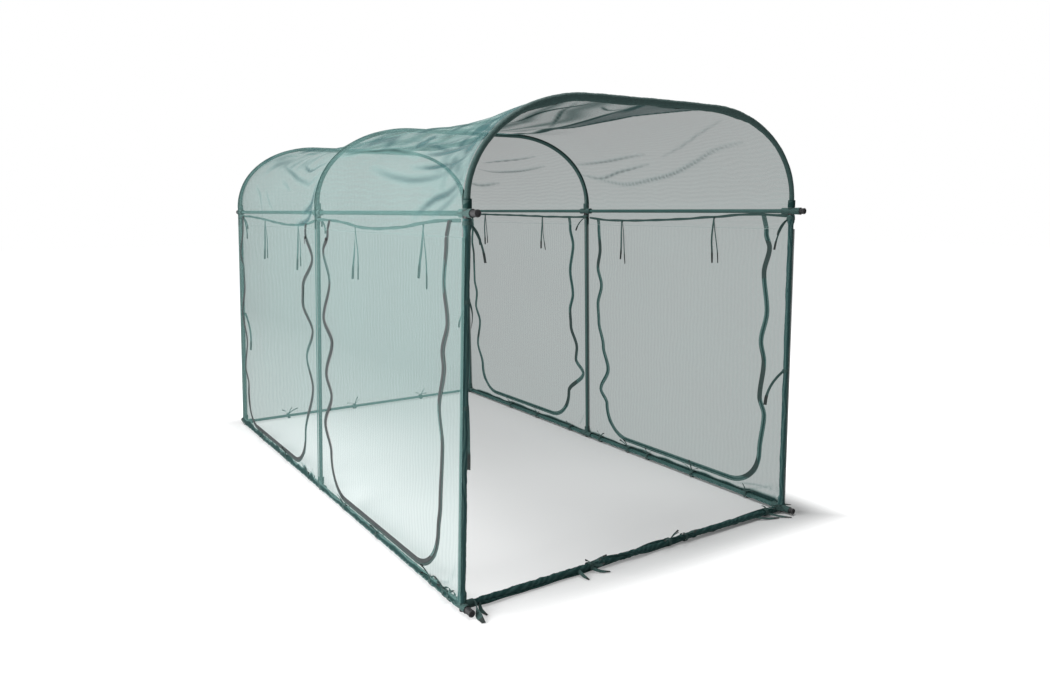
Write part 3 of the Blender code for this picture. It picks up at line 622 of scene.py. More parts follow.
# Folds along the crown, painted near black green as shade on the underside of the net
CROWN_SHADE_FOLDS = [
    ([(0.15, -0.40), (0.05, -0.79), (0.01, -1.15), (0.01, -1.42)], 0.014, 1.0),
    ([(0.30, 0.0), (0.19, -0.32), (0.10, -0.82), (0.16, -1.20), (0.36, -1.40), (0.45, -1.47)], 0.014, 1.2),
    ([(-0.28, -0.85), (-0.29, -1.20), (-0.19, -1.40)], 0.018, 1.0),
    ([(0.04, -0.74), (-0.14, -1.04), (-0.22, -1.18), (-0.30, -1.39)], 0.020, 0.7),
    ([(-0.15, -1.34), (-0.04, -1.28), (0.0, -1.33)], 0.012, 0.8),
    ([(-0.79, -0.05), (-0.76, -0.35), (-0.76, -0.55), (-0.80, -0.80), (-0.85, -0.98)], 0.018, 0.9),
    ([(-0.72, -0.10), (-0.62, -0.27), (-0.54, -0.45), (-0.60, -0.75), (-0.66, -1.00), (-0.74, -1.40)], 0.018, 0.7),
    ([(-0.50, -0.04), (-0.44, -0.25), (-0.52, -0.65), (-0.62, -1.05), (-0.70, -1.46)], 0.022, 0.9),
    ([(-0.52, 1.46), (-0.42, 1.30), (-0.45, 0.80), (-0.55, 0.45), (-0.68, 0.06)], 0.024, 1.0),
    ([(-0.62, 1.30), (-0.60, 0.90), (-0.68, 0.45)], 0.012, 0.5),
    ([(0.20, 0.05), (0.12, 0.60), (0.22, 1.35)], 0.020, 0.8),
]


def cover_line():
    """Right half of the cover's line over a hoop: distance round from the crown's middle, x, z and normals.

    A straight crown, a quarter ellipse, a short upright at the eave joint and the top of the leaning wall,
    pushed out by ARCH_GAP on the arch and by WALL_GAP on the wall.
    """
    angle = np.linspace(math.pi / 2, 0, 160)
    lean_x = EAVE_X + (EAVE_Z - DOOR_TOP) * LEAN[0] / LEAN[1]
    x = np.concatenate([np.linspace(0, ARCH_X, 30)[:-1], ARCH_X + (EAVE_X - ARCH_X) * np.cos(angle),
                        [EAVE_X, lean_x]])
    z = np.concatenate([np.full(29, CROWN_Z), ARCH_Z + (CROWN_Z - ARCH_Z) * np.sin(angle), [EAVE_Z, DOOR_TOP]])
    tangent = unit(coords(np.gradient(x), np.gradient(z)))
    normal = coords(-tangent[:, 1], tangent[:, 0])
    gap = ARCH_GAP + (WALL_GAP - ARCH_GAP) * (1 - np.clip((z - ARCH_Z) / (2 * SOCKET), 0, 1))
    return length_along(coords(x, z)), x + normal[:, 0] * gap, z + normal[:, 1] * gap, normal


def from_hoop(y):
    """Distance along the cage to the nearest hoop."""
    return np.abs((y - HOOP_Y[0] + BAY / 2) % BAY - BAY / 2)


def bay_share(y):
    """0 at the hoops and 1 in the middle of a bay, as a parabola."""
    part = np.clip(((y - HOOP_Y[0]) % BAY - SAG_START) / (BAY - 2 * SAG_START), 0, 1)
    return 4 * part * (1 - part)


distance, line_x, line_z, line_normal = cover_line()
across = np.linspace(-distance[-1], distance[-1], ROOF_GRID[0])
seams = [hoop + step for hoop in HOOP_Y[1:] for step in (-SEAM[1], -SEAM[0], *SEAM)]
along = np.union1d(np.linspace(*ROOF_ENDS, ROOF_GRID[1]), np.minimum(seams, ROOF_ENDS[1]))
s, y = crossed(across, along)
x, z, normal_x, normal_z = (np.interp(np.abs(s), distance, v) for v in (line_x, line_z, *line_normal.T))
drop = ROOF_SAG * np.clip((z - ARCH_Z) / (CROWN_Z - ARCH_Z), 0, 1) * bay_share(y)
x, z, normal_x = x * np.sign(s) * (1 - drop), z - drop, normal_x * np.sign(s)
fold = fold_depth(s, y, ROOF_FOLDS)
free = ease(from_hoop(y), 0.02, 0.12) * ease(z, EAVE_Z + 0.04, EAVE_Z + 0.16)
lift = (slack(s, y, 4, 0.35, 0.004) - 0.011 * fold) * free
roof = coords(x + normal_x * lift, y, z + normal_z * lift)
# The crown is seen nearly edge on from wherever a person stands, where a real net closes up to a denser band. The
# band is also painted dark, as shade on the underside of the crown
low_edge = np.interp(y, [-1.42, -1.33, -1.20, -1.07, -0.82, -0.56, -0.32, 0.0, 1.5],
                     [0.38, 0.29, 0.16, 0.15, 0.09, 0.16, 0.19, 0.26, 0.20])
high_edge = np.interp(y, [-1.20, -1.00, -0.79, -0.47, 0.0, 1.5], [0.01, 0.02, 0.05, 0.15, 0.20, -0.20])
band = ease(s, high_edge - 0.03, high_edge + 0.01) * (1 - ease(s, low_edge - 0.012, low_edge + 0.008))
# Painted shade in soft streaks over the roof's left shoulder, drawn as denser and darker net
turned = ease(s, -0.90, -0.66) * (1 - ease(s, -0.48, -0.30))
dark = np.maximum(1.25 * fold_depth(s, y, CROWN_SHADE_FOLDS), 0.30 * band * (0.8 + 0.2 * slack(s, y, 9, 0.25, 1.0)))
# Painted shade: dark lines along both edges of the crown band, in the front bay
in_front = 1 - ease(y, -0.35, -0.05)
for edge, width in ((low_edge - 0.011, 0.012), (np.where(y < -1.1, -9.0, high_edge), 0.009)):
    dark = np.maximum(dark, in_front * np.exp(-((s - edge) / width) ** 2))
# Painted shade: dark streaks across the left half of the crown, which also make the net there a little denser
shade_streaks = 0.5 + 0.5 * np.sin(s * 34 + 2.5 * np.sin(y * 2.3) + 1.5 * slack(s, y, 12, 0.5, 1.0))
crown = ease(s, -0.52, -0.36) * (1 - ease(s, 0.0, 0.12))
dark = np.maximum(dark, crown * (0.18 + 0.42 * shade_streaks ** 2))
fold = np.maximum(fold, crown * (0.10 + 0.15 * shade_streaks))
# Painted shade beside the crown at the front left, drawn as denser and darker net
near_front = 1 - ease(y, -1.42 - 0.2 * (s + 0.6), -1.10)
beside = ease(s, -1.15, -0.80) * (1 - ease(s, -0.45, -0.30))
# Painted shade below the crown, where the front bay sags towards the middle hoop: the net is drawn denser and
# darker there
sag_shade = (1 - ease(s - low_edge, 0.0, 0.26)) * ease(s, low_edge - 0.01, low_edge) * ease(y, -0.90, -0.15) * (y < 0)
for bunching in (0.62 * band, turned * (0.34 + 0.34 * slack(s, y, 10, 0.20, 1.0)),
                 near_front * beside * (0.68 + 0.3 * slack(s, y, 15, 0.10, 1.0)), 0.34 * sag_shade):
    fold = np.maximum(fold, bunching)
for hoop in HOOP_Y[1:]:
    dark = np.maximum(dark, 1 - ease(np.abs(y - hoop), *SEAM))
parts = [(roof, coords(s, y), np.clip(fold, 0, 1), np.clip(dark, 0, 1))]
for side in SIDES.values():
    # The front edge also covers the upper arm of the eave joint, below the hoop's own sleeve
    a, t = crossed(np.linspace(0.018, 0.050, 14), LAP)
    radius = CUFF_R + 0.0006 * t / 3 + slack(a, t * 0.012, 97 + side, 0.06, 0.0005)
    cuff = coords(side * EAVE_X + radius * np.cos(t), HOOP_Y[0] + radius * np.sin(t), EAVE_Z + a)
    parts.append((cuff, coords(t * CUFF_R, a), 0.5 + 0.5 * np.sin(5 * t), 1.0))
roof_sheet = net_piece("roof_net_cloth", parts, "roof_net")

# Side nets, doors and zips
# Each wall is one sheet with a U-shaped door cut into each bay. A coil zip closes the door, sewn in with a
# little too much net along it, so that its edges wander. The door hangs from the wall along its head.

ZIP_BOTTOM, ZIP_CORNER_R = 0.068, 0.19
DOOR_ROWS = 135
LEG_SLEEVE_R = 0.0116
CLEAR, JOINT_CLEAR = 0.0003, LIP_R + 0.0006
NET_ENDS = (-1.512, 1.5143)
TAPE_W, TAPE_T, COIL_W, COIL_H = 0.0275, 0.0008, 0.007, 0.0020
ZIP_START, ZIP_LIFT = 0.008, 0.00105

# How far each upright run lies from the bay's own hoop, at its corner and then at each turn of its wandering line
# as (distance up the wall, distance from the hoop); front edge, then rear edge
ZIP_EDGES = {
    "left_front": (
        (0.160, (0.34, 0.146), (0.57, 0.133), (0.72, 0.162), (0.87, 0.130), (0.93, 0.141), (1.04, 0.104),
         (1.19, 0.134), (1.328, 0.118)),
        (0.200, (0.37, 0.116), (0.53, 0.210), (0.63, 0.136), (0.80, 0.218), (0.91, 0.106), (1.10, 0.198),
         (1.25, 0.114), (1.328, 0.176))),
    "left_rear": (
        (0.190, (0.52, 0.062), (0.67, 0.152), (0.82, 0.056), (0.96, 0.214), (1.04, 0.207), (1.20, 0.050),
         (1.328, 0.152)),
        (0.155, (0.30, 0.165), (0.40, 0.098), (0.58, 0.150), (0.77, 0.050), (0.96, 0.122), (1.07, 0.112),
         (1.16, 0.036), (1.328, 0.107))),
    "right_front": (
        (0.152, (0.43, 0.130), (0.52, 0.160), (0.70, 0.140), (0.80, 0.161), (0.95, 0.131), (1.14, 0.155),
         (1.26, 0.127), (1.328, 0.148)),
        (0.180, (0.32, 0.120), (0.46, 0.192), (0.60, 0.145), (0.75, 0.102), (0.86, 0.094), (0.98, 0.128),
         (1.09, 0.095), (1.20, 0.116), (1.328, 0.105))),
    "right_rear": (
        (0.212, (0.39, 0.056), (0.47, 0.132), (0.55, 0.122), (0.69, 0.184), (0.79, 0.191), (0.90, 0.159),
         (1.05, 0.185), (1.22, 0.153), (1.328, 0.182)),
        (0.185, (0.40, 0.116), (0.58, 0.156), (0.70, 0.102), (0.80, 0.121), (0.90, 0.091), (1.10, 0.089),
         (1.20, 0.070), (1.328, 0.088))),
}


def up_wall(height):
    """Distance up a leg at a height above the ground."""
    return (height - RAIL_Z) / LEAN[1]


def on_wall(side, y, along, out):
    """A point of a side wall: y, distance up the wall, and distance out from the legs' axes."""
    along, out = np.broadcast_arrays(along, out)
    x = BASE_X - LEAN[0] * along + LEAN[1] * out
    z = RAIL_Z + LEAN[1] * along + LEAN[0] * out
    return coords(side * x, y, z)


HEAD = up_wall(DOOR_TOP) - CLEAR
CORNER_TOP = up_wall(ZIP_BOTTOM) + ZIP_CORNER_R


def zip_edge(edge, heights):
    """Distance of a zip's upright run from its hoop: smoothsteps from each of its turns to the next."""
    levels, places = np.array([(CORNER_TOP, edge[0]), *edge[1:]]).T
    heights = np.clip(heights, levels[0], levels[-1])
    i = np.clip(np.searchsorted(levels, heights, side="right") - 1, 0, len(levels) - 2)
    return places[i] + (places[i + 1] - places[i]) * ease(heights, levels[i], levels[i + 1])


def zip_line(door):
    """The U line of a door's zip as (distance from the bay's front hoop, distance up the wall).

    Down the front edge, a quarter circle, along the bottom, a quarter circle, and up the rear edge.
    """
    near, far = ZIP_EDGES[door]
    heights = np.linspace(HEAD, CORNER_TOP, 110)
    turn = np.linspace(0, math.pi / 2, 26)[1:-1]
    reach, dip = ZIP_CORNER_R * (1 - np.cos(turn)), CORNER_TOP - ZIP_CORNER_R * np.sin(turn)
    run = np.linspace(near[0] + ZIP_CORNER_R, BAY - far[0] - ZIP_CORNER_R, 70)
    front = coords(zip_edge(near, heights), heights)
    rear = coords(BAY - zip_edge(far, heights), heights)[::-1]
    first = coords(near[0] + reach, dip)
    second = coords(BAY - far[0] - reach, dip)[::-1]
    bottom = coords(run, up_wall(ZIP_BOTTOM))
    return np.vstack([front, first, bottom, second, rear])


def wall_edge(line, door, ends):
    """Where the wall ends beyond each point of a zip line: straight out to the hoops and down to the rail.

    Round the corners the way is a ray from the middle of the zip's quarter circle.
    """
    near, far = ZIP_EDGES[door]
    edge = line.copy()
    upright = line[:, 1] >= CORNER_TOP - 1e-9
    first = line[:, 0] < BAY / 2
    edge[upright & first, 0], edge[upright & ~first, 0] = ends
    run = ~upright
    edge[run, 1] = 0
    for at_front, centre, end in ((True, near[0] + ZIP_CORNER_R, ends[0]),
                                  (False, BAY - far[0] - ZIP_CORNER_R, ends[1])):
        corner = run & (first == at_front) & ((line[:, 0] < centre) == at_front) & (line[:, 0] != centre)
        ray = line[corner] - (centre, CORNER_TOP)
        scale = np.minimum((end - centre) / ray[:, 0], -CORNER_TOP / ray[:, 1])
        edge[corner] = (centre, CORNER_TOP) + ray * scale[:, None]
    return edge


def wall_grid(side, y, flat, seed):
    """A piece of wall: flat (distance from the hoop, distance up) points put on the wall, a little uneven."""
    d, a = flat[..., 0] + y, flat[..., 1]
    loose = ease(from_hoop(d), 0.02, 0.15) * ease(a, 0.0, 0.2) * (1 - ease(a, HEAD - 0.15, HEAD))
    return on_wall(side, d, a, WALL_GAP + loose * slack(d, a, seed, 0.5, 0.0035))


# Nylon coil on woven polyester tape: the coil half in dull grey with a tooth every 3 mm, somewhat coarser than
# real so that it shows, and the outer half in the cover's green
zip_cloth, tree = new_material("coil_zip_on_woven_tape")
run_place = add_node(tree, "UVMap", uv_map="cloth")
coil = add_node(tree, "Attribute", attribute_name="coil").outputs["Fac"]
teeth, ribs = (
    add_node(tree, "TexWave", bands_direction=way, Vector=run_place, Scale=WAVE / pitch).outputs["Fac"]
    for way, pitch in (("Y", 0.003), ("X", 0.0015)))
wear = add_node(tree, "TexNoise", Vector=run_place, Scale=40.0, Detail=3.0)
green = add_node(tree, "Mix", data_type="RGBA", _0=wear, _6="#182D2B", _7="#213A37")
grey = add_node(tree, "Mix", data_type="RGBA", _0=teeth, _6="#151A1B", _7="#252C2D")
tone = add_node(tree, "Mix", data_type="RGBA", _0=coil, _6=green, _7=grey)
relief = add_node(tree, "Math", operation="ADD", _0=teeth, _1=ribs)
bump = add_node(tree, "Bump", Strength=0.4, Distance=0.0006, Height=relief)
nylon = add_node(tree, "BsdfPrincipled", Base_Color=tone, Roughness=0.65, Normal=bump)
add_node(tree, "OutputMaterial", Surface=nylon)

# Small pulls in the walls where the hem is tied down: (distance from the bay's front hoop, distance up)
WALL_FOLDS = {
    "left_front": [([(0.02, 0.16), (0.07, 0.07), (0.17, 0.03)], 0.006, 0.3),
                   ([(0.60, 0.05), (0.80, 0.03)], 0.006, 0.3)],
    "left_rear": [([(0.10, 0.03), (0.25, 0.05), (0.40, 0.04)], 0.008, 0.4)],
    "right_front": [([(0.30, 0.03), (0.16, 0.06), (-0.01, 0.07)], 0.006, 0.5),
                    ([(0.22, 0.02), (0.0, 0.11)], 0.006, 0.3),
                    ([(0.62, 0.02), (0.70, 0.05), (0.80, 0.03)], 0.006, 0.4)],
    "right_rear": [([(0.10, 0.03), (0.04, 0.12)], 0.006, 0.4), ([(0.80, 0.03), (0.95, 0.05)], 0.006, 0.3)],
}

# Across the tape and out of it: green half, coil and the door's half
ZIP_SECTION = np.array([
    (-0.5 * TAPE_W, 0.0), (-0.5 * TAPE_W, TAPE_T), (-0.25 * TAPE_W, TAPE_T * 1.2), (-0.5 * COIL_W, TAPE_T),
    (-0.35 * COIL_W, 0.9 * COIL_H), (0.0, TAPE_T + COIL_H), (0.35 * COIL_W, 0.9 * COIL_H),
    (0.5 * COIL_W, TAPE_T), (0.5 * TAPE_W, TAPE_T), (0.5 * TAPE_W, 0.0), (0.0, 0.0),
])
ZIP_COIL = ((ZIP_SECTION[:, 0] > -0.45 * COIL_W) & (ZIP_SECTION[:, 1] > 0)).astype(float)


def zip_band(side, y, path, inward, full, run):
    """A zip along a flat path on the wall, as points, places on the flat tape, and 1 on its coil half.

    The section lies along inward, and stands off the wall by full times its own height.
    """
    flat = path[:, None] + inward * ZIP_SECTION[:, :1]
    out = WALL_GAP + full * (ZIP_LIFT + ZIP_SECTION[:, 1])
    band = capped(on_wall(side, flat[..., 0] + y, flat[..., 1], out))
    uv = capped(coords(ZIP_SECTION[:, 0], run))
    return band, uv, np.broadcast_to(ZIP_COIL, band.shape[:2])


def zip_piece(name, bands, body, *nodes):
    """Build a piece from one or more zip bands."""
    grids, uv, coils = zip(*bands)
    build(name, grids, zip_cloth, body, "tape", *nodes, wrap=(False, True), uv=uv, marks={"coil": coils}, crease=35)


side_sheets, door_sheets = {}, {}
for name, side in SIDES.items():
    parts = []
    for bay, y in zip(BAY_NAMES, HOOP_Y):
        door = f"{name}_{bay}"
        ends = (NET_ENDS[0] - y, BAY) if bay == "front" else (0.0, NET_ENDS[1] - y)
        line = zip_line(door)
        share = np.union1d(1 - np.linspace(1, 0, 34) ** 1.5, (0.03, 0.06, 0.09))[:, None]
        flat = line + (wall_edge(line, door, ends) - line) * share[..., None]
        d, a = flat[..., 0], flat[..., 1]
        gathered = 0.5 + 0.5 * slack(d + y, 0 * share, 44 + side, 0.16, 1.0)
        fringe = 0.018 + (0.047 if door == "left_rear" else 0.017) * gathered
        seam = 0.8 * (1 - ease(np.minimum(np.abs(d), np.abs(d - BAY)), 0.007, 0.012))
        seam = np.maximum(seam, 0.97 * (1 - ease(share, 0.055, 0.07)))
        parts.append((wall_grid(side, y, flat, 21), flat + (y, 0), fold_depth(d, a, WALL_FOLDS[door]),
                      np.maximum(1 - ease(a, 0.5 * fringe, fringe), seam)))
        # The door, from edge to edge row by row
        front, rear = line[:DOOR_ROWS], line[::-1][:DOOR_ROWS]
        d, a = front.T
        columns = np.linspace(0, 1, 90)[:, None]
        across = d + (np.interp(-a, -rear[:, 1], rear[:, 0]) - d) * columns
        flat = coords(across, a)
        turned_in = np.maximum(1 - ease(np.minimum(columns, 1 - columns), 0.0, 0.011),
                               1 - ease(a - a[-1], 0.006, 0.012))
        cloth = (wall_grid(side, y, flat, 21), flat + (y, 0), None, 0.97 * turned_in)
        door_sheets[door] = net_piece(f"{door}_door_cloth", [cloth], f"{door}_door_net", f"{door}_door")
        path = coords(line[:, 0], np.minimum(line[:, 1], HEAD - 0.0008))
        tangent = unit(np.gradient(path, axis=0))
        inward = coords(-tangent[:, 1], tangent[:, 0])[:, None]
        full = 0.2 + 0.8 * ease(HEAD - path[:, 1:], 0.0, ZIP_START)
        chain = zip_band(side, y, path, inward, full, length_along(path)[:, None])
        zip_piece(f"{door}_zip_chain", [chain], f"{door}_door", f"{door}_zip")
    # The hem goes round the ground rail and is tied there. It stops short of the joints
    turn = np.radians(np.linspace(0, -185, 20))
    for y in HOOP_Y[:2]:
        t, d = crossed(turn, np.linspace(y + JOINT_CLEAR, y + BAY - JOINT_CLEAR, 220))
        radius = WALL_GAP + 0.0012 - 0.0042 * ease(-t, 0.5, 1.7) + slack(t * 0.02, d, 33 + side, 0.05, 0.0010)
        x, z = BASE_X + radius * np.cos(t), RAIL_Z + radius * np.sin(t)
        parts.append((coords(side * x, d, np.maximum(z, 0.001)), coords(d, t * WALL_GAP),
                      0.4 + 0.4 * np.sin(d * 190 + 4 * t + 3 * np.sin(d * 31)), 0.42))
    # The front edge is sewn as a sleeve that the front leg runs in
    climb = np.linspace(0.018, LEG - 0.018, 280)
    a, t = crossed(climb, LAP)
    over_joint = 1 - ease(np.minimum(a, LEG - a), 0.047, 0.062)
    radius = LEG_SLEEVE_R + 0.0037 * over_joint + 0.0007 * t / 3 + slack(a, t * 0.03, 93, 0.03, 0.0004)
    radius += slack(a, t * 0.012, 91 + side, 0.17, 0.0011) * (1 - 0.7 * over_joint)
    section = polar(radius, t)
    parts.append((sweep(leg_point(side, climb, HOOP_Y[0]), ALONG_Y, section),
                  coords(t * LEG_SLEEVE_R, a),
                  0.55 + 0.25 * np.sin(5 * t + 2 * slack(a, t * 0.012, 95 + side, 0.2, 1.0)), 0.50))
    # A seam joins the wall to the roof along the doors' hinge line, on the inside
    d = np.linspace(NET_ENDS[0] + 0.002, NET_ENDS[1] - 0.002, 200)
    d, a = crossed(d, (HEAD - 0.0016, HEAD, HEAD + 0.0016))
    parts.append((on_wall(side, d, a, WALL_GAP - 0.0008), coords(d, a), 0.0, 0.0))
    side_sheets[name] = net_piece(f"{name}_side_net_cloth", parts, f"{name}_side_net")

# Rear net
# The closed end of the cover, one flat sheet drawn over the rear hoop and legs. Its edge is sewn double and shows
# as a dark band round the arch.

REAR_Y = 1.51535
wall_z = np.linspace(0.006, ARCH_Z, 90)
wall_x = np.where(wall_z < EAVE_Z, BASE_X - (wall_z - RAIL_Z) * LEAN[0] / LEAN[1], EAVE_X) + WALL_GAP
arch = np.linspace(0, math.pi / 2, 90)[1:]
arch_x = ARCH_X + (EAVE_X - ARCH_X + ARCH_GAP) * np.cos(arch)
arch_z = ARCH_Z + (CROWN_Z - ARCH_Z + ARCH_GAP) * np.sin(arch)
half_x, level_z = np.concatenate([wall_x, arch_x]), np.concatenate([wall_z, arch_z])
columns = np.linspace(-1, 1, 150)
x = half_x[:, None] * columns
z = level_z[:, None] + 0 * columns
y = REAR_Y + 0.0 * x
edge_band = ease(np.abs(columns) * half_x[:, None], half_x[:, None] - 0.034, half_x[:, None] - 0.026)
edge_band = np.maximum(edge_band, ease(z, CROWN_Z - 0.022, CROWN_Z - 0.014))
rear = coords(x, y, z)
rear_sheet = net_piece("rear_net_cloth", [(rear, coords(x, z), None, edge_band * 0.8)], "rear_net")

# Hem tapes and their ties
# A narrow woven tape sewn along the wall above each door, with two pairs of tie tapes that hold the door
# when it is rolled up. The tails hang free and twist.

HEM_W, HEM_T, HEM_END = 0.0125, 0.0013, 0.020
HEM_OUT = 0.01365
# The line that each tape hangs in, as (distance from the bay's front hoop, height)
HEM_LINES = {
    "left_front": [(0.02, 1.430), (0.18, 1.428), (0.32, 1.417), (0.48, 1.400), (0.66, 1.390), (0.84, 1.389),
                   (0.97, 1.397), (1.06, 1.407), (1.24, 1.417), (1.48, 1.422)],
    "left_rear": [(0.02, 1.412), (0.10, 1.400), (0.30, 1.389), (0.57, 1.391), (0.83, 1.408), (0.97, 1.418),
                  (1.20, 1.428), (1.48, 1.430)],
    "right_front": [(0.02, 1.432), (0.10, 1.436), (0.20, 1.440), (0.30, 1.437), (0.40, 1.430), (0.55, 1.421),
                    (0.70, 1.412), (0.88, 1.406), (1.08, 1.401), (1.29, 1.401), (1.40, 1.407), (1.48, 1.414)],
    "right_rear": [(0.02, 1.418), (0.27, 1.417), (0.55, 1.420), (0.85, 1.426), (1.18, 1.430), (1.48, 1.432)],
}
TIE_W, TIE_T, TIE_LENGTH = 0.0075, 0.0009, 0.22
TAIL_ROWS, HEM_ROWS = 44, 140
# The ties are sewn to the inside of the hem tape
TIE_OUT = HEM_OUT - 0.005
TIE_PLACES = {"left_front": (0.316, 0.99), "left_rear": (0.29, 0.91), "right_front": (0.469, 1.172),
              "right_rear": (0.477, 1.21)}

# Woven polyester tape: matt green with a slanting rib every 1.6 mm, nearly black where its end is melted
tape_cloth, tree = new_material("green_woven_tape")
run_place = add_node(tree, "UVMap", uv_map="cloth")
sealed = add_node(tree, "Attribute", attribute_name="sealed").outputs["Fac"]
warp = add_node(tree, "TexWave", bands_direction="DIAGONAL", Vector=run_place, Scale=WAVE / 0.0016)
wear = add_node(tree, "TexNoise", Vector=run_place, Scale=60.0, Detail=3.0)
green = add_node(tree, "Mix", data_type="RGBA", _0=wear, _6="#233D3A", _7="#34524F")
tone = add_node(tree, "Mix", data_type="RGBA", _0=sealed, _6=green, _7="#16211F")
bump = add_node(tree, "Bump", Strength=0.35, Distance=0.0004, Height=warp.outputs["Fac"])
woven = add_node(tree, "BsdfPrincipled", Base_Color=tone, Roughness=0.8, Normal=bump, Sheen_Weight=0.05)
add_node(tree, "OutputMaterial", Surface=woven)


def tape(path, across, width, thick, twist=0.0, start=0.0):
    """A flat tape along a path: a thin rectangle that turns by twist radians from its start to its end."""
    turn = start + np.linspace(0, 1, len(path))[:, None] * twist
    width = np.broadcast_to(width, len(path))[:, None]
    box = np.array([(-1, -1), (1, -1), (1, 1), (-1, 1)])
    flat, wide = box[:, 0] * thick / 2, box[:, 1] * width / 2
    c, s = np.cos(turn), np.sin(turn)
    section = coords(flat * c - wide * s, flat * s + wide * c)
    return capped(sweep(path, across, section))


def tape_uv(grid):
    """Metres round and along a tape grid."""
    step = np.linalg.norm(np.diff(grid, axis=0), axis=-1)
    run = np.vstack([np.zeros((1, grid.shape[1])), np.cumsum(step, axis=0)])
    return coords(length_along(grid[0]), run)


def tail(points, twist, start=0.0, across=ALONG_X, width=TIE_W):
    """A tie's free end along a smooth line through points. Its last part is melted stiff and a little wider."""
    widths = width * (1 + 0.25 * ease(np.linspace(0, 1, TAIL_ROWS), 0.70, 0.80))
    return tape(smooth_line(points, TAIL_ROWS), across, widths, TIE_T, twist, start)


def knot(centre, size, seed):
    """A lumpy closed ball: an ellipsoid whose radius has a few waves round and along it."""
    chance = np.random.default_rng(seed)
    up, turn = crossed(np.linspace(0, math.pi, 11), once_round(14))
    lumps = 1 + 0.16 * np.sin(3 * turn + chance.uniform(0, 6)) * np.sin(up) + 0.12 * np.sin(2 * turn - 3 * up)
    lump = ball(11, 14) * lumps[..., None] * np.asarray(size) / 2
    tilt = chance.uniform(-0.6, 0.6)
    spin = np.array([[1, 0, 0], [0, math.cos(tilt), -math.sin(tilt)], [0, math.sin(tilt), math.cos(tilt)]])
    return lump @ spin.T + centre


def taped(name, grids, *nodes):
    """Build tapes and knots as one piece of woven tape on the cover. A tail's last quarter is melted stiff."""
    marks = []
    for grid in grids:
        along = np.linspace(0, 1 if len(grid) == TAIL_ROWS + 2 else 0, len(grid))[:, None]
        marks.append(np.broadcast_to(ease(along, 0.72, 0.78), grid.shape[:2]))
    return build(name, grids, tape_cloth, COVER, "tape", *nodes, wrap=(False, True),
                 uv=[tape_uv(grid) for grid in grids], marks={"sealed": marks}, crease=35)


hem_pieces, hem_height = {}, {}
for door, side, y in WALL_BAYS:
    d, height = smooth_line(HEM_LINES[door], HEM_ROWS).T
    calm = ease(d, 0.05, 0.20) * (1 - ease(d, BAY - 0.20, BAY - 0.05))
    height = hem_height[door] = up_wall(height + 0.35 * calm * slack(d, 0 * d, 50 + side, 0.25, 0.0045))
    grids = [tape(on_wall(side, d + y, height, HEM_OUT), UP, HEM_W * (1 + 0.12 * np.sin(d * 37)), HEM_T)]
    chance = np.random.default_rng(int(60 + 5 * side + y))
    for place in TIE_PLACES[door]:
        root = np.interp(place, d, height) - HEM_W / 2
        grids.append(knot(on_wall(side, place + y, root, TIE_OUT), (0.006, 0.012, 0.012), int(70 + y)))
        for lean, width in zip((0.048, -0.014) if side < 0 else (0.004, -0.034), (0.0085, 0.005)):
            length = TIE_LENGTH * chance.uniform(0.94, 1.12)
            t = np.array([0.0, 0.25, 0.5, 0.75, 1.0])
            sway = lean * t ** 0.9 + 0.004 * np.sin(t * 5 + chance.uniform(0, 6))
            hang = on_wall(side, place + y + 0.002 * np.sign(lean) + sway, root - length * t,
                           TIE_OUT - 0.007 * ease(t, 0, 0.5))
            twist = chance.uniform(1.2, 2.4)
            grids.append(tail(hang, twist, -twist, width=width))
    hem_pieces[door] = taped(f"{door}_hem_and_ties", grids, f"{door}_hem_tape")

# Zip heads
# Above its hinge line each zip runs on for a few centimetres, sewn to the wall up to the hem tape.

HEAD_LEAN = {"left_front": (-0.022, -0.028), "left_rear": (-0.012, -0.010), "right_front": (0.020, 0.006),
             "right_rear": (0.010, 0.012)}
for door, side, y in WALL_BAYS:
    line, bands = zip_line(door), []
    for start, lean, inward in zip((line[0], line[-1]), HEAD_LEAN[door], ((1, 0), (-1, 0))):
        t = np.linspace(0, 1, 16)[:, None]
        top = np.interp(start[0] + lean, np.linspace(HEM_END, BAY - HEM_END, HEM_ROWS), hem_height[door])
        path = np.array([start[0], HEAD + 0.0008]) + t * (lean, top - HEAD)
        bands.append(zip_band(side, y, path, np.array(inward), 0.2 + 0.8 * ease(t, 0.0, 0.15), t * 0.055))
    zip_piece(f"{door}_zip_head", bands, COVER)

# Ties at the joints and on the legs
# Pairs of tape ties hold the cover to the hoops at the eave joints and part way down the end legs. Each goes
# twice round and is knotted, and its tails hang free.
JOINT_TIE_R, LEG_TIE_R = 0.0176, 0.0142
JOINT_WRAP_R = 0.0157


def tied_round(centre, axis, radius, seed, pitch=0.0078):
    """Two turns of tape side by side round a tube, as a helix."""
    first, second = square_to(axis, ALONG_Y, ALONG_X)
    turn = np.linspace(0, 4 * math.pi, 60)[:, None] + seed
    path = centre + radius * (np.cos(turn) * first + np.sin(turn) * second)
    path = path + np.linspace(-0.5, 0.5, 60)[:, None] * axis * 2 * pitch
    return tape(path, axis, TIE_W * 0.9, TIE_T)


def hanging(start, drift, length, bow=0.010):
    """Five points of a tail that starts at a knot, bows out and hangs down while it drifts sideways."""
    t = np.array([0.0, 0.18, 0.45, 0.75, 1.0])[:, None]
    out = np.asarray(drift, float)
    return np.asarray(start) + out * t ** 0.8 + bow * np.sin(math.pi * t) * unit(out) - length * t * UP


def joint_wrap(hub, arms, seed):
    """Loose turns of the cover's tape round a joint, as a sleeve along each (direction, start, stop) arm."""
    made = []
    for axis, start, stop in arms:
        run, t = crossed(np.linspace(start, stop, 36), once_round(32))
        radius = (JOINT_WRAP_R + slack(run, t * 0.015, seed, 0.035, 0.0006))[..., None]
        first, second = square_to(axis, UP, ALONG_Y)
        run, t = run[..., None], t[..., None]
        made.append(np.asarray(hub) + run * axis + radius * np.cos(t) * first + radius * np.sin(t) * second)
    return made


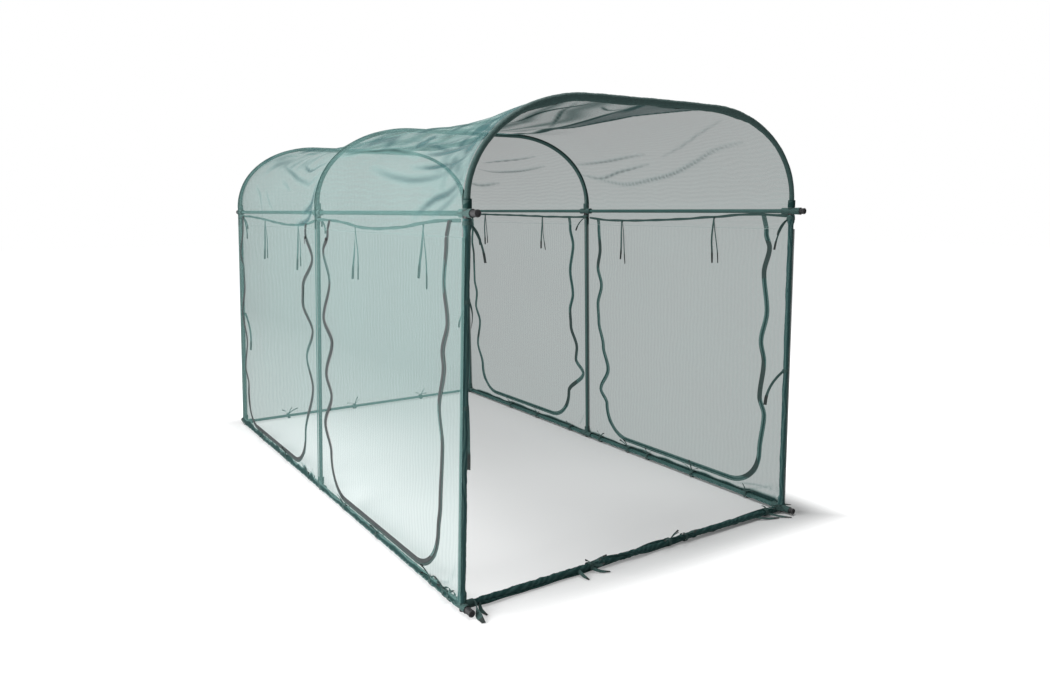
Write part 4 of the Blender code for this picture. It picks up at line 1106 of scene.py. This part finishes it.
grids = []
for i, (end, y) in enumerate(zip(END_NAMES, HOOP_Y)):
    for name, side in SIDES.items():
        up_leg = np.array([-side * LEAN[0], 0.0, LEAN[1]])
        reach = (-(0.036 if side < 0 else 0.052) if i == 0 else -0.046, 0.036 if i == 2 else 0.046)
        arms = [(ALONG_Y, *reach), (UP, 0.012, 0.046)]
        grids += joint_wrap((side * EAVE_X, y, EAVE_Z), arms, 130 + i + side)
        arms[1] = (up_leg, 0.012, 0.046)
        if i != 1:
            arms.append((-side * ALONG_X, 0.012, 0.046))
        grids += joint_wrap((side * BASE_X, y, RAIL_Z), arms, 140 + i + side)
        at = leg_point(side, LEG - 0.032, y)
        grids.append(tied_round(at, up_leg, JOINT_TIE_R, 2.0 * i + side))
        inner = at + np.array([-side * 0.014, 0.006 if i == 0 else -0.012, -0.004])
        grids.append(knot(inner, (0.012, 0.014, 0.013), 100 + 3 * i + side))
        if i == 0:
            tails = ((-side * 0.070, 0.012, 0.14), (-side * 0.050, 0.012, 0.075))
        elif i == 1:
            tails = ((0.006, -0.030, 0.070), (0.006, 0.014, 0.035)) if side < 0 else ((-0.006, 0.085, 0.085),)
        else:
            tails = ((-side * 0.010, -0.030, 0.14), (-side * 0.014, -0.040, 0.075))
        for inwards, along_y, length in tails:
            grids.append(tail(hanging(inner, (inwards, along_y, 0), length), -1.0 if side < 0 else -0.8, 0.0))
    # Half way down the end legs. Both ties are set square to the right leg
    for name, side in SIDES.items() if i != 1 else ():
        at = leg_point(side, up_wall(0.70 if side > 0 else 0.77), y)
        grids.append(tied_round(at, up_leg, LEG_TIE_R, 1.0 + side))
        inner = at + np.array([-side * 0.013, 0.004 if i == 0 else -0.013, 0.0])
        grids.append(knot(inner, (0.011, 0.012, 0.018), 120 + i + side))
        inwards, drop = (-side * 0.095 * 0.15, 0.155 + 0.09) if side < 0 else (-side * 0.095, 0.155)
        drift = (inwards, 0.02 if i == 0 else -0.03, 0)
        grids.append(tail(hanging(inner, drift, drop, 0.02), -0.3, -0.6, width=0.012))
left_low = leg_point(-1, up_wall(1.15), HOOP_Y[0])
grids.append(tied_round(left_low, UP, 0.0140, 0.4))
grids.append(tail(hanging(left_low + (0.014, 0.004, 0.0), (0.010, 0.004, 0.0), 0.10, 0.012), 1.0))
# A strap hangs inside the front left corner
strap = [(-0.850, -1.470, 1.430), (-0.846, -1.462, 1.385), (-0.843, -1.458, 1.340), (-0.842, -1.456, 1.290)]
grids.append(tape(smooth_line(strap, 40), ALONG_X, 0.016, 0.0012, 0.5, 0.2))
joint_ties = taped("leg_and_joint_ties", grids)

# Ties along the ground
# Short ties every few hands along the hem hold it to the ground rails. They end in stiff little tails.

GROUND_TIES = {"left": (1.66, 1.15, 0.75, 0.23, 0.125, 0.085, 2.05, 2.52),
               "right": (2.39, 2.05, 1.67, 1.36, 1.10, 0.93, 0.58, 0.21)}
END_TIES = {"front": (-0.30, 0.14, 0.24, 0.78), "rear": (-0.60, -0.10, 0.45)}
GROUND_TIE_R = 0.0182


def ground_tie(at, along, out, seed):
    """Two turns round the rail and its hem, a knot on top and three stiff tails that stand out from it."""
    chance = np.random.default_rng(seed)
    at, along, out = (np.asarray(v, float) for v in (at, along, out))
    made = [tied_round(at, along, GROUND_TIE_R, chance.uniform(0, 6))]
    made[0][..., 2] = np.maximum(made[0][..., 2], 0.0004)
    top = at + out * 0.012 + UP * 0.0165
    made.append(knot(top, (0.013, 0.013, 0.010), seed))
    for lean in (-1.0, 0.1, 1.0):
        length = chance.uniform(0.038, 0.075)
        slant = lean * along * chance.uniform(0.5, 0.9) + out * chance.uniform(0.15, 0.5)
        tip = top + unit(slant + UP * chance.uniform(0.1, 0.6)) * length
        tip[2] = max(tip[2], 0.004)
        middle = (top + tip) / 2 + UP * 0.004
        made.append(tail([top, middle, tip], chance.uniform(0.5, 1.5), chance.uniform(0, 3), UP, 0.0062))
    return made


grids = []
for name, side in SIDES.items():
    for k, d in enumerate(GROUND_TIES[name]):
        grids += ground_tie((side * BASE_X, HOOP_Y[0] + d, RAIL_Z), ALONG_Y, (side if side < 0 else -0.6, 0, 0),
                            200 + 10 * k + side)
for end, y, out in (("front", HOOP_Y[0], (0, -1, 0)), ("rear", HOOP_Y[-1], (0, -0.5, 0))):
    for k, x in enumerate(END_TIES[end]):
        grids += ground_tie((x, y, RAIL_Z), ALONG_X, out, 300 + 10 * k)
# Loose ends of the ties on the floor by the front rail: points, width and twist
LOOSE_ENDS = [
    ([(-0.850, -1.512, 0.030), (-0.872, -1.560, 0.014), (-0.881, -1.622, 0.004)], 0.026, 2.2),
    ([(-0.836, -1.514, 0.020), (-0.846, -1.548, 0.008), (-0.842, -1.582, 0.004)], 0.014, 1.0),
    ([(-0.364, -1.511, 0.022), (-0.360, -1.538, 0.010), (-0.354, -1.566, 0.004)], 0.014, 0.7),
    ([(-0.300, -1.512, 0.018), (-0.272, -1.540, 0.008), (-0.236, -1.556, 0.004)], 0.014, 0.9),
    ([(-0.292, -1.510, 0.032), (-0.262, -1.522, 0.024), (-0.236, -1.520, 0.026)], 0.012, 1.4),
    ([(0.700, -1.512, 0.016), (0.756, -1.540, 0.006), (0.812, -1.558, 0.004)], 0.012, 0.6),
    ([(0.775, -1.512, 0.020), (0.822, -1.552, 0.008), (0.866, -1.588, 0.004)], 0.012, 0.8),
    ([(0.838, -1.508, 0.032), (0.884, -1.528, 0.020), (0.932, -1.544, 0.008)], 0.018, 1.6),
    ([(0.850, -1.502, 0.036), (0.900, -1.510, 0.036), (0.944, -1.524, 0.030)], 0.010, 1.2),
]
narrowing = 1 - 0.4 * ease(np.linspace(0, 1, TAIL_ROWS), 0.6, 1.0)
for points, width, twist in LOOSE_ENDS:
    grids.append(tape(smooth_line(points, TAIL_ROWS), UP, width * narrowing, 0.0014, twist, math.pi / 2 - twist))
ground_ties = taped("ground_ties", grids)

# Zip sliders
# Die-cast zinc, painted black: a slider body with a bridge over it, and a pressed pull that hangs from the
# bridge.

SLIDER_SIZE = (0.011, 0.017, 0.0040)
SLIDER_DROP = 0.030
BRIDGE_R, BRIDGE_HALF, BRIDGE_RISE = 0.0009, 0.0058, 0.0030
PULL_LENGTH, PULL_WIDTH, PULL_OUT = 0.034, 0.008, 0.0056
PULL_TOP = 0.0098
RIM_R, RIM_HALF = 0.0012, 0.0008

# Painted zinc: a satin black with specks of about 2 mm where bare metal shows
slider_metal, tree = new_material("black_painted_zinc")
place = add_node(tree, "TexCoord").outputs["Object"]
chips = add_node(tree, "TexNoise", Vector=place, Scale=420.0, Detail=4.0)
worn = add_node(tree, "MapRange", Value=chips, From_Min=0.66, From_Max=0.74)
tone = add_node(tree, "Mix", data_type="RGBA", _0=worn, _6="#121314", _7="#6F7273")
gloss = add_node(tree, "MapRange", Value=chips, To_Min=0.28, To_Max=0.5)
paint = add_node(tree, "BsdfPrincipled", Base_Color=tone, Roughness=gloss, Metallic=worn)
add_node(tree, "OutputMaterial", Surface=paint)

for door, side, y in WALL_BAYS:
    rear_run = door.endswith("front")
    top = HEAD + CLEAR - ZIP_START - SLIDER_DROP
    middle = SLIDER_SIZE[1] / 2
    at_d = zip_edge(ZIP_EDGES[door][1 if rear_run else 0], np.array([top - middle]))[0]
    at_d = BAY - at_d if rear_run else at_d
    base = WALL_GAP + ZIP_LIFT + TAPE_T + COIL_H
    # Local axes: along y, up the wall and out of it
    body = ball(17, 32, 0.55) * SLIDER_SIZE / 2 + (0, -middle, 0.0023)
    body[..., 0] *= 0.80 + 0.20 * np.cos((body[..., 1] + middle) / SLIDER_SIZE[1] * 2 * math.pi)
    arc = np.linspace(0, math.pi, 14)
    bridge_path = coords(0, -0.0075 + BRIDGE_HALF * np.cos(arc), SLIDER_SIZE[2] + BRIDGE_RISE * np.sin(arc))
    bridge = capped(sweep(bridge_path, ALONG_X, polar(1, once_round(10)) * BRIDGE_R))
    loop = once_round(56)
    drop = (PULL_LENGTH / 2 - 0.0020) * (1 - soft(np.cos(loop), 0.7))
    pull_path = coords((PULL_WIDTH / 2 - RIM_R) * soft(np.sin(loop), 0.5), -PULL_TOP - drop, PULL_OUT)
    away = unit(pull_path - np.array([0, -0.025, PULL_OUT]))
    section = polar(1, once_round(8))
    rim = pull_path[:, None] + RIM_R * section[:, :1] * away[:, None] + RIM_HALF * section[:, 1:] * UP
    web = ball(17, 32, 0.5) * (PULL_WIDTH - 0.003, 0.014, 0.0010) / 2 + (0, -0.031, PULL_OUT)
    grids = [on_wall(side, y + at_d + side * grid[..., 0], top + grid[..., 1], base + grid[..., 2])
             for grid in (body, bridge, web, np.concatenate([rim, rim[:1]]))]
    build(f"{door}_zip_slider_and_pull", grids, slider_metal, f"{door}_slider", "zip_metal", f"{door}_zip_slider",
          wrap=(False, True), crease=45)

# Front hoop sleeve
# The front edge of the cover is a dark woven sleeve round the hoop, loose and rumpled towards the crown.

SLEEVE_R, SLEEVE_START = 0.0108, 0.003
half_path = bend_path(1, HOOP_Y[0], ARCH_Z + SLEEVE_START, 0.0, 60)[:-1]
hoop_path = smooth_line(np.concatenate([half_path, half_path[::-1] * (-1, 1, 1)]), 520)
turn = np.linspace(-0.25, 2 * math.pi + 0.25, 34)
r, t = crossed(length_along(hoop_path), turn)
loose = 0.4 + 0.6 * ease(hoop_path[:, 2], 1.7, 1.87)[:, None]
rumple = slack(r, t * 0.012, 71, 0.09, 0.0007) + slack(r, t * 0.03, 72, 0.03, 0.0004)
radius = SLEEVE_R + 0.0003 * t / 3 + loose * rumple
section = polar(radius, t)
sleeve = sweep(hoop_path, ALONG_Y, section)
below = np.clip((hoop_path[:, None, 2] - sleeve[..., 2]) / SLEEVE_R, 0, 1)
hang = ease(hoop_path[:, 2], 1.74, 1.88)[:, None] * (0.010 + slack(r, 0 * r, 73, 0.30, 0.004))
sleeve[..., 2] -= below * np.maximum(hang, 0)
front_sleeve = build("front_hoop_sleeve_cloth", [sleeve], tape_cloth, COVER, "tape", "front_hoop_sleeve",
                     uv=[coords(t * SLEEVE_R, r)], crease=0)

# Gathered wrap on the front ground rail
# The cover's front corners are joined by a strip of net that is bunched round the front ground rail.

WRAP_R, WRAP_RIPPLE, WRAP_END = 0.0132, 0.0022, 0.8547
ROPE_R, ROPE_ROUND = 0.0046, 0.0145
OFF_FLOOR = 0.0008
run = np.linspace(-WRAP_END, WRAP_END, 460)
turn = np.linspace(-0.5, 2 * math.pi + 0.4, 34)
r, t = crossed(run, turn)
radius = WRAP_R + slack(r, t * 0.02, 81, 0.07, WRAP_RIPPLE * 0.6) + slack(r, t * 0.03, 82, 0.025, 0.0009)
z = RAIL_Z + radius * np.sin(t)
wrap = coords(r, HOOP_Y[0] + radius * np.cos(t), np.maximum(z, OFF_FLOOR))
gather = 0.5 + 0.5 * np.sin(r * 160 + 3 * t + 4 * np.sin(r * 23))
parts = [(wrap, coords(r, t * WRAP_R), gather, 0.9)]
# Two ropes of bunched net wind slowly round it, and two thin cords have slipped off behind it on the floor
around = once_round(16)
for k, (start, pitch) in enumerate(((0.4, 5.2), (2.9, 7.1))):
    angle = start + pitch * run + 0.8 * np.sin(run * 6 + k)
    centre = coords(run, HOOP_Y[0] + ROPE_ROUND * np.cos(angle), RAIL_Z + ROPE_ROUND * np.sin(angle))
    thick = ROPE_R * (1 + 0.25 * np.sin(run * 31 + 2 * k)) * (1 - 0.6 * ease(np.abs(run), 0.78, 0.85))
    rope = sweep(centre, ALONG_Y, polar(1, once_round(16)) * thick[:, None, None])
    rope[..., 2] = np.maximum(rope[..., 2], OFF_FLOOR)
    parts.append((rope, coords(run[:, None], around * ROPE_R),
                  0.5 + 0.5 * np.sin(run[:, None] * 210 + 2 * around), 0.9))
SLIPPED_CORDS = [
    ([(-0.72, -1.487, 0.010), (-0.55, -1.467, 0.003), (-0.33, -1.462, 0.003), (-0.05, -1.486, 0.008)], 0.0022),
    ([(0.05, -1.487, 0.010), (0.25, -1.470, 0.003), (0.52, -1.474, 0.003), (0.78, -1.487, 0.010)], 0.0020),
]
for points, thick in SLIPPED_CORDS:
    path = smooth_line(points, 120)
    parts.append((sweep(path, UP, polar(1, once_round(16)) * thick),
                  coords(path[:, :1], around * thick), 0.3, 0.9))
wrap_cloth = net_piece("front_rail_wrap_cloth", parts, "front_rail_wrap")

# Cut sizes of the sheets, measured on the cloth before it is sewn
for name in SIDES:
    for bay in BAY_NAMES:
        door = f"{name}_{bay}"
